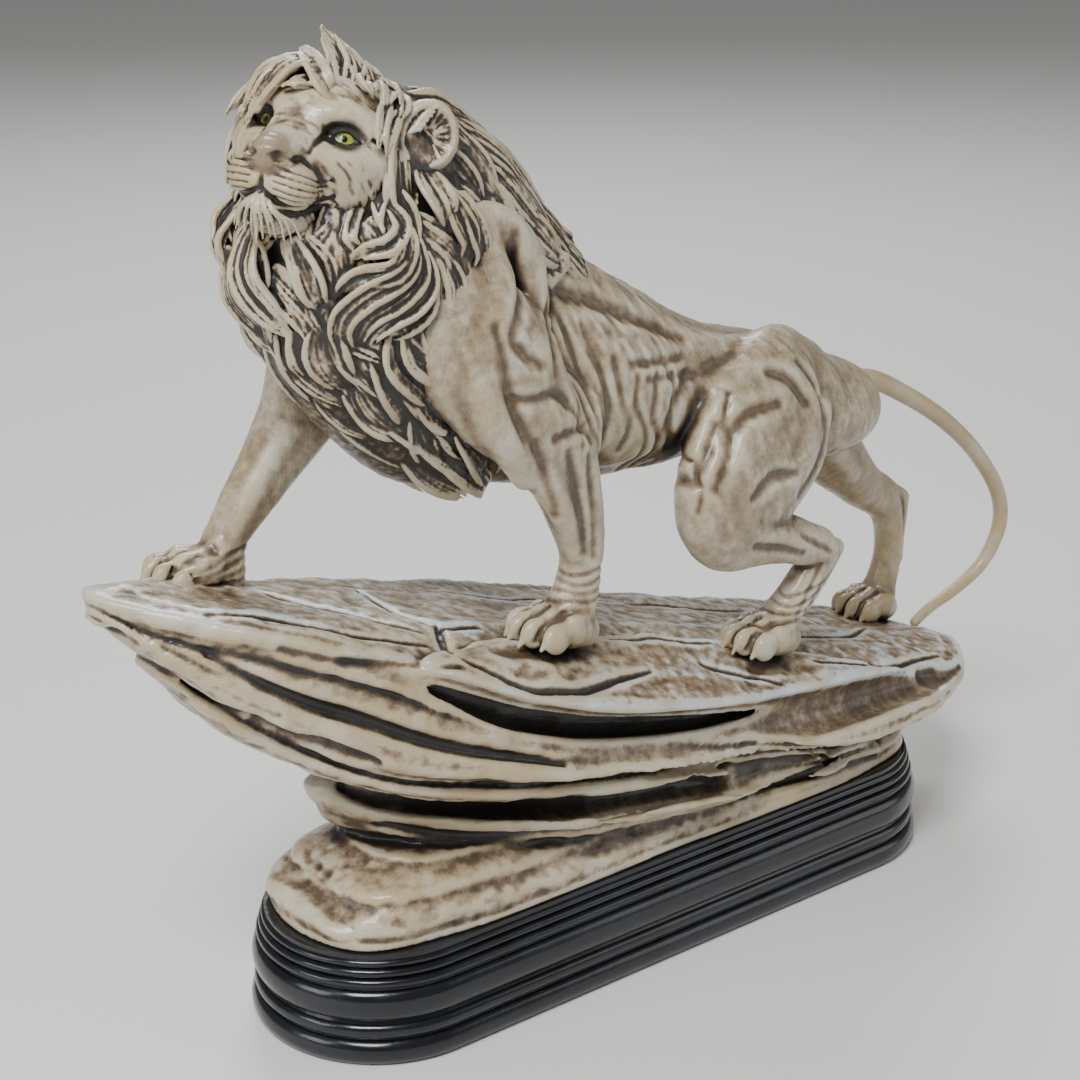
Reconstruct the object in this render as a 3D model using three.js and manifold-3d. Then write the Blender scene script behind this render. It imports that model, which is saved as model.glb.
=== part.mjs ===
// A lion striding along a jutting rock ledge, cast in one piece, on a moulded oval plinth.
// Millimetres, +Z up. The origin is at the middle of the plinth's underside.
// The lion faces -X; its left flank is towards -Y.

import * as THREE from "three";
import { mergeVertices } from "three/addons/utils/BufferGeometryUtils.js";
import Module from "manifold-3d";

// ---------------------------------------------------------------- driving sizes

const PLINTH_LENGTH = 300;
const PLINTH_WIDTH = 93;
const PLINTH_HEIGHT = 40;
const JOINT_GAP = 0.3;

const LEDGE_SLOPE = -0.29;
const LEDGE_LEVEL = 117;
const LEDGE_TIP = -199;
const LEDGE_END = 196;
const LEDGE_HALF_WIDTH = 58;

const HEAD_CENTRE = [-129.4, -12, 310.3];
const HEAD_YAW = 33;
const HEAD_PITCH = 20;
const HEAD_ROLL = 10;
const EYE_SPACING = 25;

const LIMB_SIDES = 10;

// ---------------------------------------------------------------- solids from rings of points

const wasm = await Module();
wasm.setup();

function toSolid(geometry) {
  const bare = geometry.clone();
  bare.deleteAttribute("normal");
  bare.deleteAttribute("uv");
  const merged = mergeVertices(bare, 1e-3);
  return new wasm.Manifold(new wasm.Mesh({
    numProp: 3,
    vertProperties: new Float32Array(merged.attributes.position.array),
    triVerts: new Uint32Array(merged.index.array),
  }));
}

function toGeometry(solid) {
  const mesh = solid.getMesh();
  const geometry = new THREE.BufferGeometry();
  geometry.setAttribute("position", new THREE.BufferAttribute(new Float32Array(mesh.vertProperties), 3));
  geometry.setIndex(new THREE.BufferAttribute(new Uint32Array(mesh.triVerts), 1));
  geometry.computeVertexNormals();
  return geometry;
}

function union(solids) {
  return solids.reduce((all, one) => all.add(one));
}

// A closed skin over a stack of rings, with a point at each end.
function skin(rings, start, end) {
  const sides = rings[0].length;
  const points = [start, ...rings.flat(), end];
  const index = [];
  const at = (ring, side) => 1 + ring * sides + (side % sides);
  for (let side = 0; side < sides; side += 1) {
    index.push(0, at(0, side + 1), at(0, side));
    index.push(points.length - 1, at(rings.length - 1, side), at(rings.length - 1, side + 1));
    for (let ring = 0; ring + 1 < rings.length; ring += 1) {
      index.push(at(ring, side), at(ring, side + 1), at(ring + 1, side));
      index.push(at(ring, side + 1), at(ring + 1, side + 1), at(ring + 1, side));
    }
  }
  const geometry = new THREE.BufferGeometry().setFromPoints(points);
  geometry.setIndex(index);
  return geometry;
}

function curveThrough(points) {
  return new THREE.CatmullRomCurve3(points, false, "centripetal");
}

// A rounded limb through stations [x, y, z, half width across, half depth]. "across" is the
// direction that the half width is measured along, here the lion's left unless another is given.
function loft(stations, { sides = LIMB_SIDES, steps = 12, across = [0, -1, 0], roundEnds = true } = {}) {
  const path = curveThrough(stations.map((s) => new THREE.Vector3(s[0], s[1], s[2])));
  const radii = curveThrough(stations.map((s) => new THREE.Vector3(s[3], s[4], 0)));
  const side = new THREE.Vector3(...across);
  const ringAt = (t, shrink, slide) => {
    const centre = path.getPoint(t);
    const tangent = path.getTangent(t);
    const half = radii.getPoint(t);
    const wide = side.clone().addScaledVector(tangent, -side.dot(tangent)).normalize();
    const deep = new THREE.Vector3().crossVectors(tangent, wide);
    centre.addScaledVector(tangent, slide * Math.min(half.x, half.y));
    return Array.from({ length: sides }, (_, k) => {
      const turn = (2 * Math.PI * k) / sides;
      return centre.clone()
        .addScaledVector(wide, Math.cos(turn) * half.x * shrink)
        .addScaledVector(deep, Math.sin(turn) * half.y * shrink);
    });
  };
  const middle = (ring) => {
    const sum = ring.reduce((total, p) => total.add(p), new THREE.Vector3());
    return sum.divideScalar(ring.length);
  };
  const rings = [];
  if (roundEnds) rings.push(ringAt(0, 0.6, -0.7));
  for (let step = 0; step <= steps; step += 1) rings.push(ringAt(step / steps, 1, 0));
  if (roundEnds) rings.push(ringAt(1, 0.6, 0.7));
  const start = middle(roundEnds ? ringAt(0, 0.6, -0.95) : rings[0]);
  const end = middle(roundEnds ? ringAt(1, 0.6, 0.95) : rings[rings.length - 1]);
  return toSolid(skin(rings, start, end));
}

function ellipsoid(centre, radii, { turn = [0, 0, 0], sides = 12 } = {}) {
  const geometry = new THREE.SphereGeometry(1, sides, Math.ceil(sides / 2) + 1);
  geometry.scale(...radii);
  const angles = turn.map(THREE.MathUtils.degToRad);
  geometry.applyMatrix4(new THREE.Matrix4().makeRotationFromEuler(new THREE.Euler(...angles, "ZYX")));
  geometry.translate(...centre);
  return toSolid(geometry);
}

const smooth = (low, high, value) => THREE.MathUtils.smoothstep(value, low, high);

// ---------------------------------------------------------------- rock ledge

const ledgeTop = (x, y) => {
  const lip = 16 * smooth(0.25, 1, -y / LEDGE_HALF_WIDTH) * smooth(LEDGE_TIP, -60, x);
  const rise = 5 * smooth(130, 190, x) * smooth(-20, 10, -y);
  return LEDGE_LEVEL + LEDGE_SLOPE * x - lip * smooth(-200, -60, -x) + rise;
};

// The beds hang lower and lower from the tip towards the plinth.
const ledgeUnderside = (x) => 70 - 0.214 * x + 0.0055 * Math.min(0, x + 105) ** 2;

// Plan of the ledge, from its tip along the near side, round the end and back.
const LEDGE_PLAN = [
  [LEDGE_TIP, 17], [-172, -14], [-130, -36], [-85, -52], [-20, -LEDGE_HALF_WIDTH], [60, -57], [122, -50],
  [164, -30], [LEDGE_END - 8, 0], [LEDGE_END, 26], [170, 44],
  [80, 50], [0, 52], [-80, 47], [-140, 38], [-184, 29],
];

const SLAB_PLAN = [
  [-112, -38], [-96, -50], [-40, -57.5], [50, -56.5],
  [110, -50], [136, -42], [60, -24], [-40, -22],
];

// Evenly spaced points round a plan outline, clockwise from above as a skin from the top down needs.
const planRing = (plan, sides) => new THREE.CatmullRomCurve3(
  plan.map(([x, y]) => new THREE.Vector3(x, y, 0)), true, "centripetal",
).getSpacedPoints(sides).slice(0, sides).reverse();

// A solid of rock from level-by-level copies of one plan outline. Each level is
// [scale along, scale across, shift along, height as a function of x and y].
function rockBeds(plan, levels, { sides, centre = [0, 0] }) {
  const edge = planRing(plan, sides);
  const rings = levels.map(([along, across, shift, height]) => edge.map((p) => {
    const x = centre[0] + (p.x - centre[0]) * along + shift;
    const y = centre[1] + (p.y - centre[1]) * across;
    return new THREE.Vector3(x, y, height(x, y));
  }));
  const pole = (height) => new THREE.Vector3(centre[0], centre[1], height(...centre));
  return toSolid(skin(rings, pole(levels[0][3]), pole(levels[levels.length - 1][3])));
}

function rockLedge() {
  const below = (depth, deeper = 0) => (x, y) => ledgeTop(x, y) - depth - deeper * smooth(-160, -40, x);
  const between = (share) => (x, y) =>
    THREE.MathUtils.lerp(below(13, 5)(x, y), ledgeUnderside(x) + 9, share);
  const above = (height) => (x) => ledgeUnderside(x) + height;
  return [
    rockBeds(LEDGE_PLAN, [
      // walking surface and its lip
      [0.94, 0.93, 0, below(0)],
      [1, 1, 0, below(4)],
      [0.985, 0.97, 0, below(8, 4)],
      [0.9, 0.87, -14, below(12, 4)],
      // long bed that runs out to the tip
      [0.91, 0.9, -16, between(0.3)],
      [0.9, 0.92, -17, between(0.75)],
      [0.86, 0.83, -18, between(1)],
      // the bed under it
      [0.82, 0.85, -18, above(6)],
      [0.79, 0.8, -18, above(0)],
      // block that overhangs the plinth
      [0.6, 0.78, 4, above(-2)],
      [0.645, 0.84, 4, (x) => THREE.MathUtils.lerp(ledgeUnderside(x), 56 - 0.1 * x, 0.5)],
      [0.59, 0.76, 4, (x) => 57 - 0.1 * x],
      [0.5, 0.62, 4, (x) => 50 - 0.05 * x],
    ], { sides: 24 }),
    // slab standing proud under the near feet
    rockBeds(SLAB_PLAN, [
      [0.95, 0.9, 0, (x, y) => ledgeTop(x, y) + 4],
      [1, 1, 0, (x, y) => ledgeTop(x, y) - 1],
      [0.94, 0.8, 0, (x, y) => ledgeTop(x, y) - 12],
    ], { sides: 16, centre: [15, -42] }),
    // mound on the plinth
    rockBeds([
      [-142, 0], [-132, -29], [-100, -39], [0, -40],
      [100, -39], [132, -29], [143, 0], [132, 29], [100, 39],
      [0, 40], [-100, 39], [-132, 29],
    ], [
      [0.8, 0.72, 0, (x) => 60 - 0.03 * x],
      [0.93, 0.9, 0, (x) => 52 - 0.02 * x],
      [1, 1, 0, () => PLINTH_HEIGHT + 4],
      [0.985, 0.97, 0, () => PLINTH_HEIGHT + JOINT_GAP],
    ], { sides: 20 }),
  ];
}

// ---------------------------------------------------------------- lion: trunk and limbs

function trunk() {
  return [
    loft([
      [121, 0, 179, 8, 8], [110, 0, 181, 21, 17],
      [90, 0, 184, 27, 21], [62, 0, 194, 28, 23], [35, 0, 200, 25, 24],
      [8, 0, 206, 28, 30], [-22, 0, 215, 32, 37],
      [-52, 0, 223, 35, 42], [-82, 0, 232, 36, 44], [-104, 0, 240, 32, 38],
      [-122, 0, 246, 22, 24],
    ], { sides: 12, steps: 12 }),
    // withers and nape
    loft([
      [-2, 0, 226, 14, 12], [-28, 0, 243, 18, 14],
      [-52, 0, 262, 22, 18], [-74, 0, 284, 24, 22], [-92, 0, 304, 24, 20],
    ], { sides: 8, steps: 6 }),
  ];
}

function foreleg(side) {
  const near = side < 0;
  const y = (depth) => side * depth;
  return near
    ? [loft([
      [-84, y(24), 268, 9, 15], [-88, y(31), 250, 13, 22],
      [-76, y(35), 230, 15, 23], [-62, y(36), 212, 13, 18],
      [-51, y(35), 195, 11, 13.5], [-45, y(34), 178, 9, 10],
      [-41, y(33), 162, 7.5, 8], [-42, y(32), 150, 8, 8.5],
      [-45, y(31), 141, 9, 9],
    ], { steps: 11 })]
    : [loft([
      [-84, y(20), 262, 9, 16], [-92, y(26), 244, 12, 22],
      [-103, y(28), 226, 12, 19], [-111, y(28), 212, 11, 14.5],
      [-121, y(29), 197, 9.5, 10.5], [-132, y(30), 184, 8.5, 9], [-140, y(31), 172, 8, 8],
      [-143, y(31), 160, 9, 9],
    ], { steps: 11 })];
}

function hindLeg(side) {
  const near = side < 0;
  const y = (depth) => side * depth;
  return near
    ? [
      loft([
        [74, y(12), 197, 13, 20], [57, y(22), 192, 15, 32],
        [40, y(29), 181, 15, 32], [26, y(33), 168, 13, 25],
        [27, y(34), 156, 11, 15], [46, y(34), 150, 9, 11],
        [62, y(33), 144, 7, 9], [75, y(32), 137, 6.5, 7.5],
        [68, y(31), 128, 6.5, 6.5], [60, y(31), 119, 7, 7], [52, y(31), 112, 8, 7],
      ], { steps: 15 }),
    ]
    : [
      loft([
        [88, y(10), 194, 12, 16], [104, y(18), 182, 14, 22],
        [122, y(22), 166, 13, 19], [140, y(25), 147, 11, 14],
        [158, y(27), 131, 9, 10.5], [174, y(28), 119, 7, 8.5],
        [178, y(28), 106, 6.5, 6.5], [178, y(28), 92, 6.5, 6.5],
        [174, y(28), 80, 7.5, 7], [170, y(28), 74, 8, 7],
      ], { steps: 13 }),
    ];
}

// A four-toed paw whose heel is at [x, y]; it lies along the ledge and points towards -X.
function paw(x, y, length, width, sink = 0) {
  const slope = Math.atan(LEDGE_SLOPE);
  const ground = (px) => LEDGE_LEVEL + LEDGE_SLOPE * px + sink;
  const parts = [loft([
    [x, y, ground(x) + 6, width * 0.36, 7],
    [x - length * 0.35, y, ground(x - length * 0.35) + 7, width * 0.44, 8],
    [x - length * 0.7, y, ground(x - length * 0.7) + 5, width * 0.46, 6],
  ], { steps: 3, sides: 8 })];
  for (let toe = 0; toe < 4; toe += 1) {
    const spread = (toe - 1.5) / 1.5;
    const reach = length * (0.84 - 0.14 * spread * spread);
    const tx = x - reach;
    const centre = [tx, y + spread * width * 0.37, ground(tx) + 4.2];
    const turn = [0, THREE.MathUtils.radToDeg(-slope), 10 * spread];
    parts.push(ellipsoid(centre, [length * 0.25, width * 0.16, 5.8], { turn, sides: 6 }));
  }
  return parts;
}

function tail() {
  return [loft([
    [104, 2, 186, 6, 6], [118, 4, 187.5, 4.4, 4.4], [137, 5, 184.5, 4, 4],
    [156, 5, 175.5, 3.9, 3.9], [182, 5, 159.5, 3.8, 3.8],
    [206, 6, 139.5, 3.7, 3.7], [223, 7, 118, 3.6, 3.6],
    [227, 8, 103, 3.5, 3.5], [220, 10, 87, 3.2, 3.2], [205, 12, 77, 2.8, 2.8],
    [192, 14, 72, 2.4, 2.4], [182, 15, 66, 2.4, 2.4],
  ], { sides: 6, steps: 16 })];
}

// ---------------------------------------------------------------- lion: head

const headTurn = new THREE.Matrix4().makeRotationFromEuler(new THREE.Euler(
  THREE.MathUtils.degToRad(HEAD_ROLL),
  THREE.MathUtils.degToRad(HEAD_PITCH),
  THREE.MathUtils.degToRad(HEAD_YAW),
  "ZYX",
));

const headPlace = new THREE.Matrix4().makeTranslation(...HEAD_CENTRE).multiply(headTurn);

// Head pieces are made facing -X round the middle of the eyes, then turned into place.
function head() {
  const parts = [
    ellipsoid([15, 0, -3], [28, 26, 25], { sides: 12 }),
    // forehead
    loft([[16, 0, 14, 17, 10], [4, 0, 9, 14, 9], [-1, 0, 4, 10, 8]], { steps: 2, sides: 8 }),
    // bridge of the nose
    loft([[2, 0, 1, 8, 6], [-8, 0, -3, 7, 6], [-17, 0, -8.5, 5.5, 5]], { steps: 3, sides: 8 }),
    // muzzle
    loft([[8, 0, -13, 16, 13], [-5, 0, -15, 13.5, 11], [-14, 0, -18, 10.5, 8.5]], { steps: 3, sides: 10 }),
    // nose leather
    ellipsoid([-21, 0, -13], [4.5, 6, 4], { sides: 7 }),
    // lower jaw and chin
    loft([[8, 0, -25, 13, 8], [-6, 0, -27.5, 10, 7], [-13, 0, -28.5, 7, 5]], { steps: 2, sides: 8 }),
  ];
  for (const side of [-1, 1]) {
    parts.push(
      // whisker pad
      ellipsoid([-13.5, side * 6.6, -18.5], [8.5, 7.6, 7], { sides: 8 }),
      // cheek
      ellipsoid([7, side * 15, -9], [14, 9, 13], { turn: [0, 0, side * 12], sides: 7 }),
      // brow ridge over the eye
      ellipsoid([-1.5, side * (EYE_SPACING / 2), 6], [6, 8, 4], {
        turn: [side * -12, 0, side * 18],
        sides: 6,
      }),
      // ear; the right one is laid lower under the forelock
      ellipsoid([19, side * 28.5, 6.5 - 3 * side], [4.5, 9.5, 10.5], {
        turn: [side * 10, 0, side * 25],
        sides: 8,
      }),
    );
  }
  return parts.map((part) => part.transform(headPlace.elements));
}

// ---------------------------------------------------------------- lion: mane

// The mane's mass, as level sections: height, fore-and-aft centre, half width and half depth.
const MANE_SECTIONS = [
  [299, -102, 20, 20], [291, -103, 30, 34], [279, -105, 33, 43], [262, -104, 33, 43], [244, -101, 32, 38],
  [229, -96, 29, 32], [214, -88, 24, 26], [201, -79, 17, 17], [194, -74, 10, 10],
];

const maneCurve = curveThrough(MANE_SECTIONS.map(([z, x]) => new THREE.Vector3(x, -3, z)));
const maneRadii = curveThrough(MANE_SECTIONS.map((s) => new THREE.Vector3(s[2], s[3], 0)));

// A point of the mane: "turn" is in degrees, 0 at the chest and 90 on the lion's left; "down" runs
// from 0 at the crown to 1 at the lowest tip; "lift" stands off the mass.
function manePoint(turn, down, lift) {
  const centre = maneCurve.getPoint(down);
  const half = maneRadii.getPoint(down);
  const angle = THREE.MathUtils.degToRad(turn);
  return new THREE.Vector3(
    centre.x - Math.cos(angle) * (half.y + lift),
    centre.y - Math.sin(angle) * (half.x + lift),
    centre.z,
  );
}

// A tapering lock of hair through points, wide along the skin and pointed at its tip.
function lock(points, width, thickness, { sides = 5, steps = 3, outward }) {
  const stations = points.map((p, k) => {
    const along = k / (points.length - 1);
    const swell = 0.35 + 0.65 * Math.sin(Math.PI * (0.18 + 0.72 * along));
    return [p.x, p.y, p.z, Math.max(0.8, (width / 2) * swell), Math.max(0.6, (thickness / 2) * swell)];
  });
  return loft(stations, { sides, steps, across: outward });
}

function maneLocks() {
  const locks = [];
  const rows = [
    { count: 6, from: -84, to: 112, start: 0.2, length: 0.3, width: 15, lift: 2.5 },
    { count: 6, from: -72, to: 104, start: 0.42, length: 0.28, width: 14, lift: 2 },
    { count: 5, from: -60, to: 88, start: 0.62, length: 0.24, width: 13, lift: 1.5 },
  ];
  rows.forEach((row, r) => {
    for (let k = 0; k < row.count; k += 1) {
      const turn = THREE.MathUtils.lerp(row.from, row.to, (k + 0.5 * (r % 2)) / (row.count - 0.5));
      const sway = 9 * Math.sin(2.1 * k + 1.3 * r);
      const points = [0, 0.33, 0.66, 1].map((t) => manePoint(
        turn + sway * t,
        row.start + row.length * t,
        row.lift * Math.sin(Math.PI * Math.min(1, 0.25 + t)) + 1.2 * t,
      ));
      const angle = THREE.MathUtils.degToRad(turn + 90);
      locks.push(lock(points, row.width, 7, { outward: [-Math.cos(angle), -Math.sin(angle), 0] }));
    }
  });
  return locks;
}

function mane() {
  const mass = loft(
    MANE_SECTIONS.map(([z, x, wide, deep]) => [x, -3, z, wide, deep]),
    { sides: 12, steps: 9 },
  );
  const strands = [
    // crown spike leaning over the brow
    { at: [[-113, -8, 316], [-117, -8, 327], [-121, -7, 338]], width: 10, thickness: 7 },
    // forelocks
    { at: [[-115, -3, 322], [-122, -3, 330], [-130, -2, 331]], width: 8, thickness: 6 },
    { at: [[-112, 8, 316], [-122, 8, 322], [-132, 10, 314]], width: 10, thickness: 8 },
    { at: [[-104, -4, 315], [-97, -5, 314], [-84, -6, 302]], width: 18, thickness: 10 },
    // long ribbon lock on the near cheek
    {
      at: [[-112, -38, 296], [-108, -44, 278], [-124, -42, 262], [-118, -44, 246]],
      width: 14,
      thickness: 9,
    },
    // straight lock behind the near ear
    { at: [[-98, -34, 302], [-88, -38, 290], [-80, -38, 276]], width: 12, thickness: 7 },
  ];
  return [mass, ...maneLocks(), ...strands.map(({ at, width, thickness }) => lock(
    at.map((p) => new THREE.Vector3(...p)), width, thickness, { outward: [1, 0, 0.3], steps: 4 },
  ))];
}

// ---------------------------------------------------------------- plinth

// A bead of the moulding: an arc bulging outwards between two heights.
function bead(low, high, inset, bulge, steps = 4) {
  return Array.from({ length: steps + 1 }, (_, k) => {
    const angle = (Math.PI * k) / steps;
    return new THREE.Vector2(
      PLINTH_WIDTH / 2 - inset - bulge + bulge * Math.sin(angle),
      (low + high) / 2 - ((high - low) / 2) * Math.cos(angle),
    );
  });
}

function plinth() {
  const profile = [
    new THREE.Vector2(0, 0),
    ...bead(0, 9, 0, 3, 4),
    ...bead(9.6, 15, 1.2, 2, 3),
    ...bead(16.2, 27.6, 0.8, 3, 4),
    ...bead(28.6, 31.8, 2.4, 1.4, 2),
    ...bead(32.2, 35.2, 3.4, 1.4, 2),
    ...bead(35.6, 38.2, 4.4, 1.2, 2),
    new THREE.Vector2(PLINTH_WIDTH / 2 - 5.6, PLINTH_HEIGHT),
    new THREE.Vector2(0, PLINTH_HEIGHT),
  ];
  const turns = 20;
  // the flats, not the corners, lie on the true outline
  const flats = 1 / Math.cos(Math.PI / turns);
  profile.forEach((p) => p.setX(p.x * flats));
  const geometry = new THREE.LatheGeometry(profile, turns, Math.PI / turns);
  geometry.rotateX(Math.PI / 2);
  // the round ends move apart to make the straight sides
  const position = geometry.attributes.position;
  const shift = (PLINTH_LENGTH - PLINTH_WIDTH) / 2;
  for (let k = 0; k < position.count; k += 1) {
    const x = position.getX(k);
    if (Math.abs(x) > 1e-6) position.setX(k, x + Math.sign(x) * shift);
  }
  return geometry;
}

// ---------------------------------------------------------------- the object

const sculpture = new THREE.Group();

function addPiece(name, geometry, material) {
  const mesh = new THREE.Mesh(geometry, material);
  mesh.name = name;
  sculpture.add(mesh);
}

const casting = union([
  ...rockLedge(),
  ...trunk(),
  ...foreleg(-1),
  ...foreleg(1),
  ...hindLeg(-1),
  ...hindLeg(1),
  ...paw(-36, -31, 30, 25),
  ...paw(-141, 30, 28, 25, -4.5),
  ...paw(62, -31, 30, 23),
  ...paw(181, 28, 28, 22, -0.5),
  ...tail(),
  ...head(),
  ...mane(),
]);

addPiece("lion_on_rock_ledge", toGeometry(casting), new THREE.MeshStandardMaterial({
  color: 0xb5a68a, roughness: 0.45, metalness: 0,
}));

addPiece("plinth", toGeometry(toSolid(plinth())), new THREE.MeshStandardMaterial({
  color: 0x0b0e13, roughness: 0.2, metalness: 0,
}));

export default sculpture;
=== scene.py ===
"""A lion striding along a jutting rock ledge: an antiqued cream casting on a black moulded oval plinth."""

import itertools
import math

import bpy
import numpy as np
import openvdb
from mathutils import Euler, Matrix, Vector


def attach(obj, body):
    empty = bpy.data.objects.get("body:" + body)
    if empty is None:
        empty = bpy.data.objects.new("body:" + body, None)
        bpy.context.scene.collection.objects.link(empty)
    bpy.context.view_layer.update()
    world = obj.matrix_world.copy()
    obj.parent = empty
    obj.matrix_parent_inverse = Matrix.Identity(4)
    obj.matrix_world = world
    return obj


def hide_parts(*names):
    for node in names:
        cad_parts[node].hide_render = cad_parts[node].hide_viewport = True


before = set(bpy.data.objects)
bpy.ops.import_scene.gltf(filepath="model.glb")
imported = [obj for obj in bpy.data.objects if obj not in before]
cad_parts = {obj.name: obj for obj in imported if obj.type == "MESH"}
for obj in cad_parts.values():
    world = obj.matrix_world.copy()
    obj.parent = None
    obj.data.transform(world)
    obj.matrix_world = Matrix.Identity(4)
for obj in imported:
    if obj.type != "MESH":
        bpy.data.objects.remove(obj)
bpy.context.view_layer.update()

bl_info = {
    "name": "Striding lion on a rock ledge",
    "version": (1, 0, 0),
    "blender": (4, 5, 0),
    "location": "View3D > Sidebar > Lion",
    "description": "Sculpts the casting's relief, its antiqued paint and its moulded plinth over the frame",
    "category": "Object",
}

MM = 0.001
FAR = 9.0  # the greatest distance, in millimetres, that the clay keeps
NEAR, OFF = -1, 1  # the lion's left side, towards -Y, and its right side

# a rock outline's points, and the rings between two of its levels
ROCK_SIDES, ROCK_RINGS = 420, 7

# a lock of hair: one strand for each of these millimetres of its width
STRAND_SPACING = 1.5

# how far, in millimetres, the fine and the broad hollows of the relief reach
FINE_REACH, BROAD_REACH = 0.7, 2.0

# the coarse grid that tells how sheltered a place is: its box, its pitch, and its two reaches in cells; the
# painted shade of recesses, of undersides and of the gaps between pieces is read from it
SHELTER_LOW, SHELTER_HIGH, SHELTER_PITCH = (-215, -75, 20), (245, 70, 355), 2.5
SHELTER_NEAR, SHELTER_WIDE = 2, 5

# the wash's depth, which also carries painted shade, at which each colour starts to cover the one before it,
# and at which it hides it
TAN_SPAN, UMBER_SPAN, SOOT_SPAN = (-0.1, 0.36), (0.22, 0.66), (0.6, 1.1)
# painted shade: places this full of the casting round them are darkened, partly for wash settling in deep
# recesses, partly for the shade there
SHELTERED = (0.42, 0.8)  # share of filled space round a place, from open to sheltered

# painted rings of the eye as distances from the front of the eyeball, in metres
PUPIL_EDGE, IRIS_EDGE = (0.00088, 0.00108), (0.0026, 0.00285)
LIMBUS, RIM_FADE = (0.0022, 0.0028), (0.0056, 0.0078)

# ---------------------------------------------------------------- curves


def curve_through(keys):
    """A smooth curve through rows of numbers, as its knots, a function of them and its length.

    The first three columns set the pace.
    """
    steps = np.linalg.norm(np.diff(keys[:, :3], axis=0), axis=1)
    knots = np.concatenate([[0], np.cumsum(np.sqrt(steps) + 1e-6)])
    slopes = np.gradient(keys, knots, axis=0)

    def at(t):
        k = np.clip(np.searchsorted(knots, t, side="right") - 1, 0, len(keys) - 2)
        gap = (knots[k + 1] - knots[k])[:, None]
        u = (t - knots[k])[:, None] / gap
        return (
            (2 * u**3 - 3 * u**2 + 1) * keys[k]
            + (u**3 - 2 * u**2 + u) * gap * slopes[k]
            + (3 * u**2 - 2 * u**3) * keys[k + 1]
            + (u**3 - u**2) * gap * slopes[k + 1]
        )

    return knots, at, steps.sum()


def smooth_line(stations, spacing):
    """Stations joined by a smooth curve, in points about `spacing` apart.

    Columns after the third, such as radii, follow along.
    """
    knots, at, length = curve_through(np.array(stations, float))
    return at(np.linspace(0, knots[-1], max(3, int(length / spacing) + 1)))


def unit(vectors):
    vectors = np.asarray(vectors, float)
    return vectors / (np.linalg.norm(vectors, axis=-1, keepdims=True) + 1e-9)


def ease(low, high, value):
    t = np.clip((value - low) / (high - low), 0, 1)
    return t * t * (3 - 2 * t)


def grain(x, y, z, seed):
    """Soft random values from -1 to 1 that change over about one unit."""
    table = np.random.default_rng(seed).uniform(-1, 1, (32, 32, 32)).astype(np.float32)
    base, part = [], []
    for value in np.broadcast_arrays(x, y, z):
        low = np.floor(value)
        share = value - low
        base.append(low.astype(np.int32))
        part.append(share * share * (3 - 2 * share))
    total = 0
    for corner in itertools.product((0, 1), repeat=3):
        weight = 1
        for share, side in zip(part, corner):
            weight = weight * (share if side else 1 - share)
        cell = [(low + side) % 32 for low, side in zip(base, corner)]
        total = total + weight * table[cell[0], cell[1], cell[2]]
    return total


# ---------------------------------------------------------------- modelling clay


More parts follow.
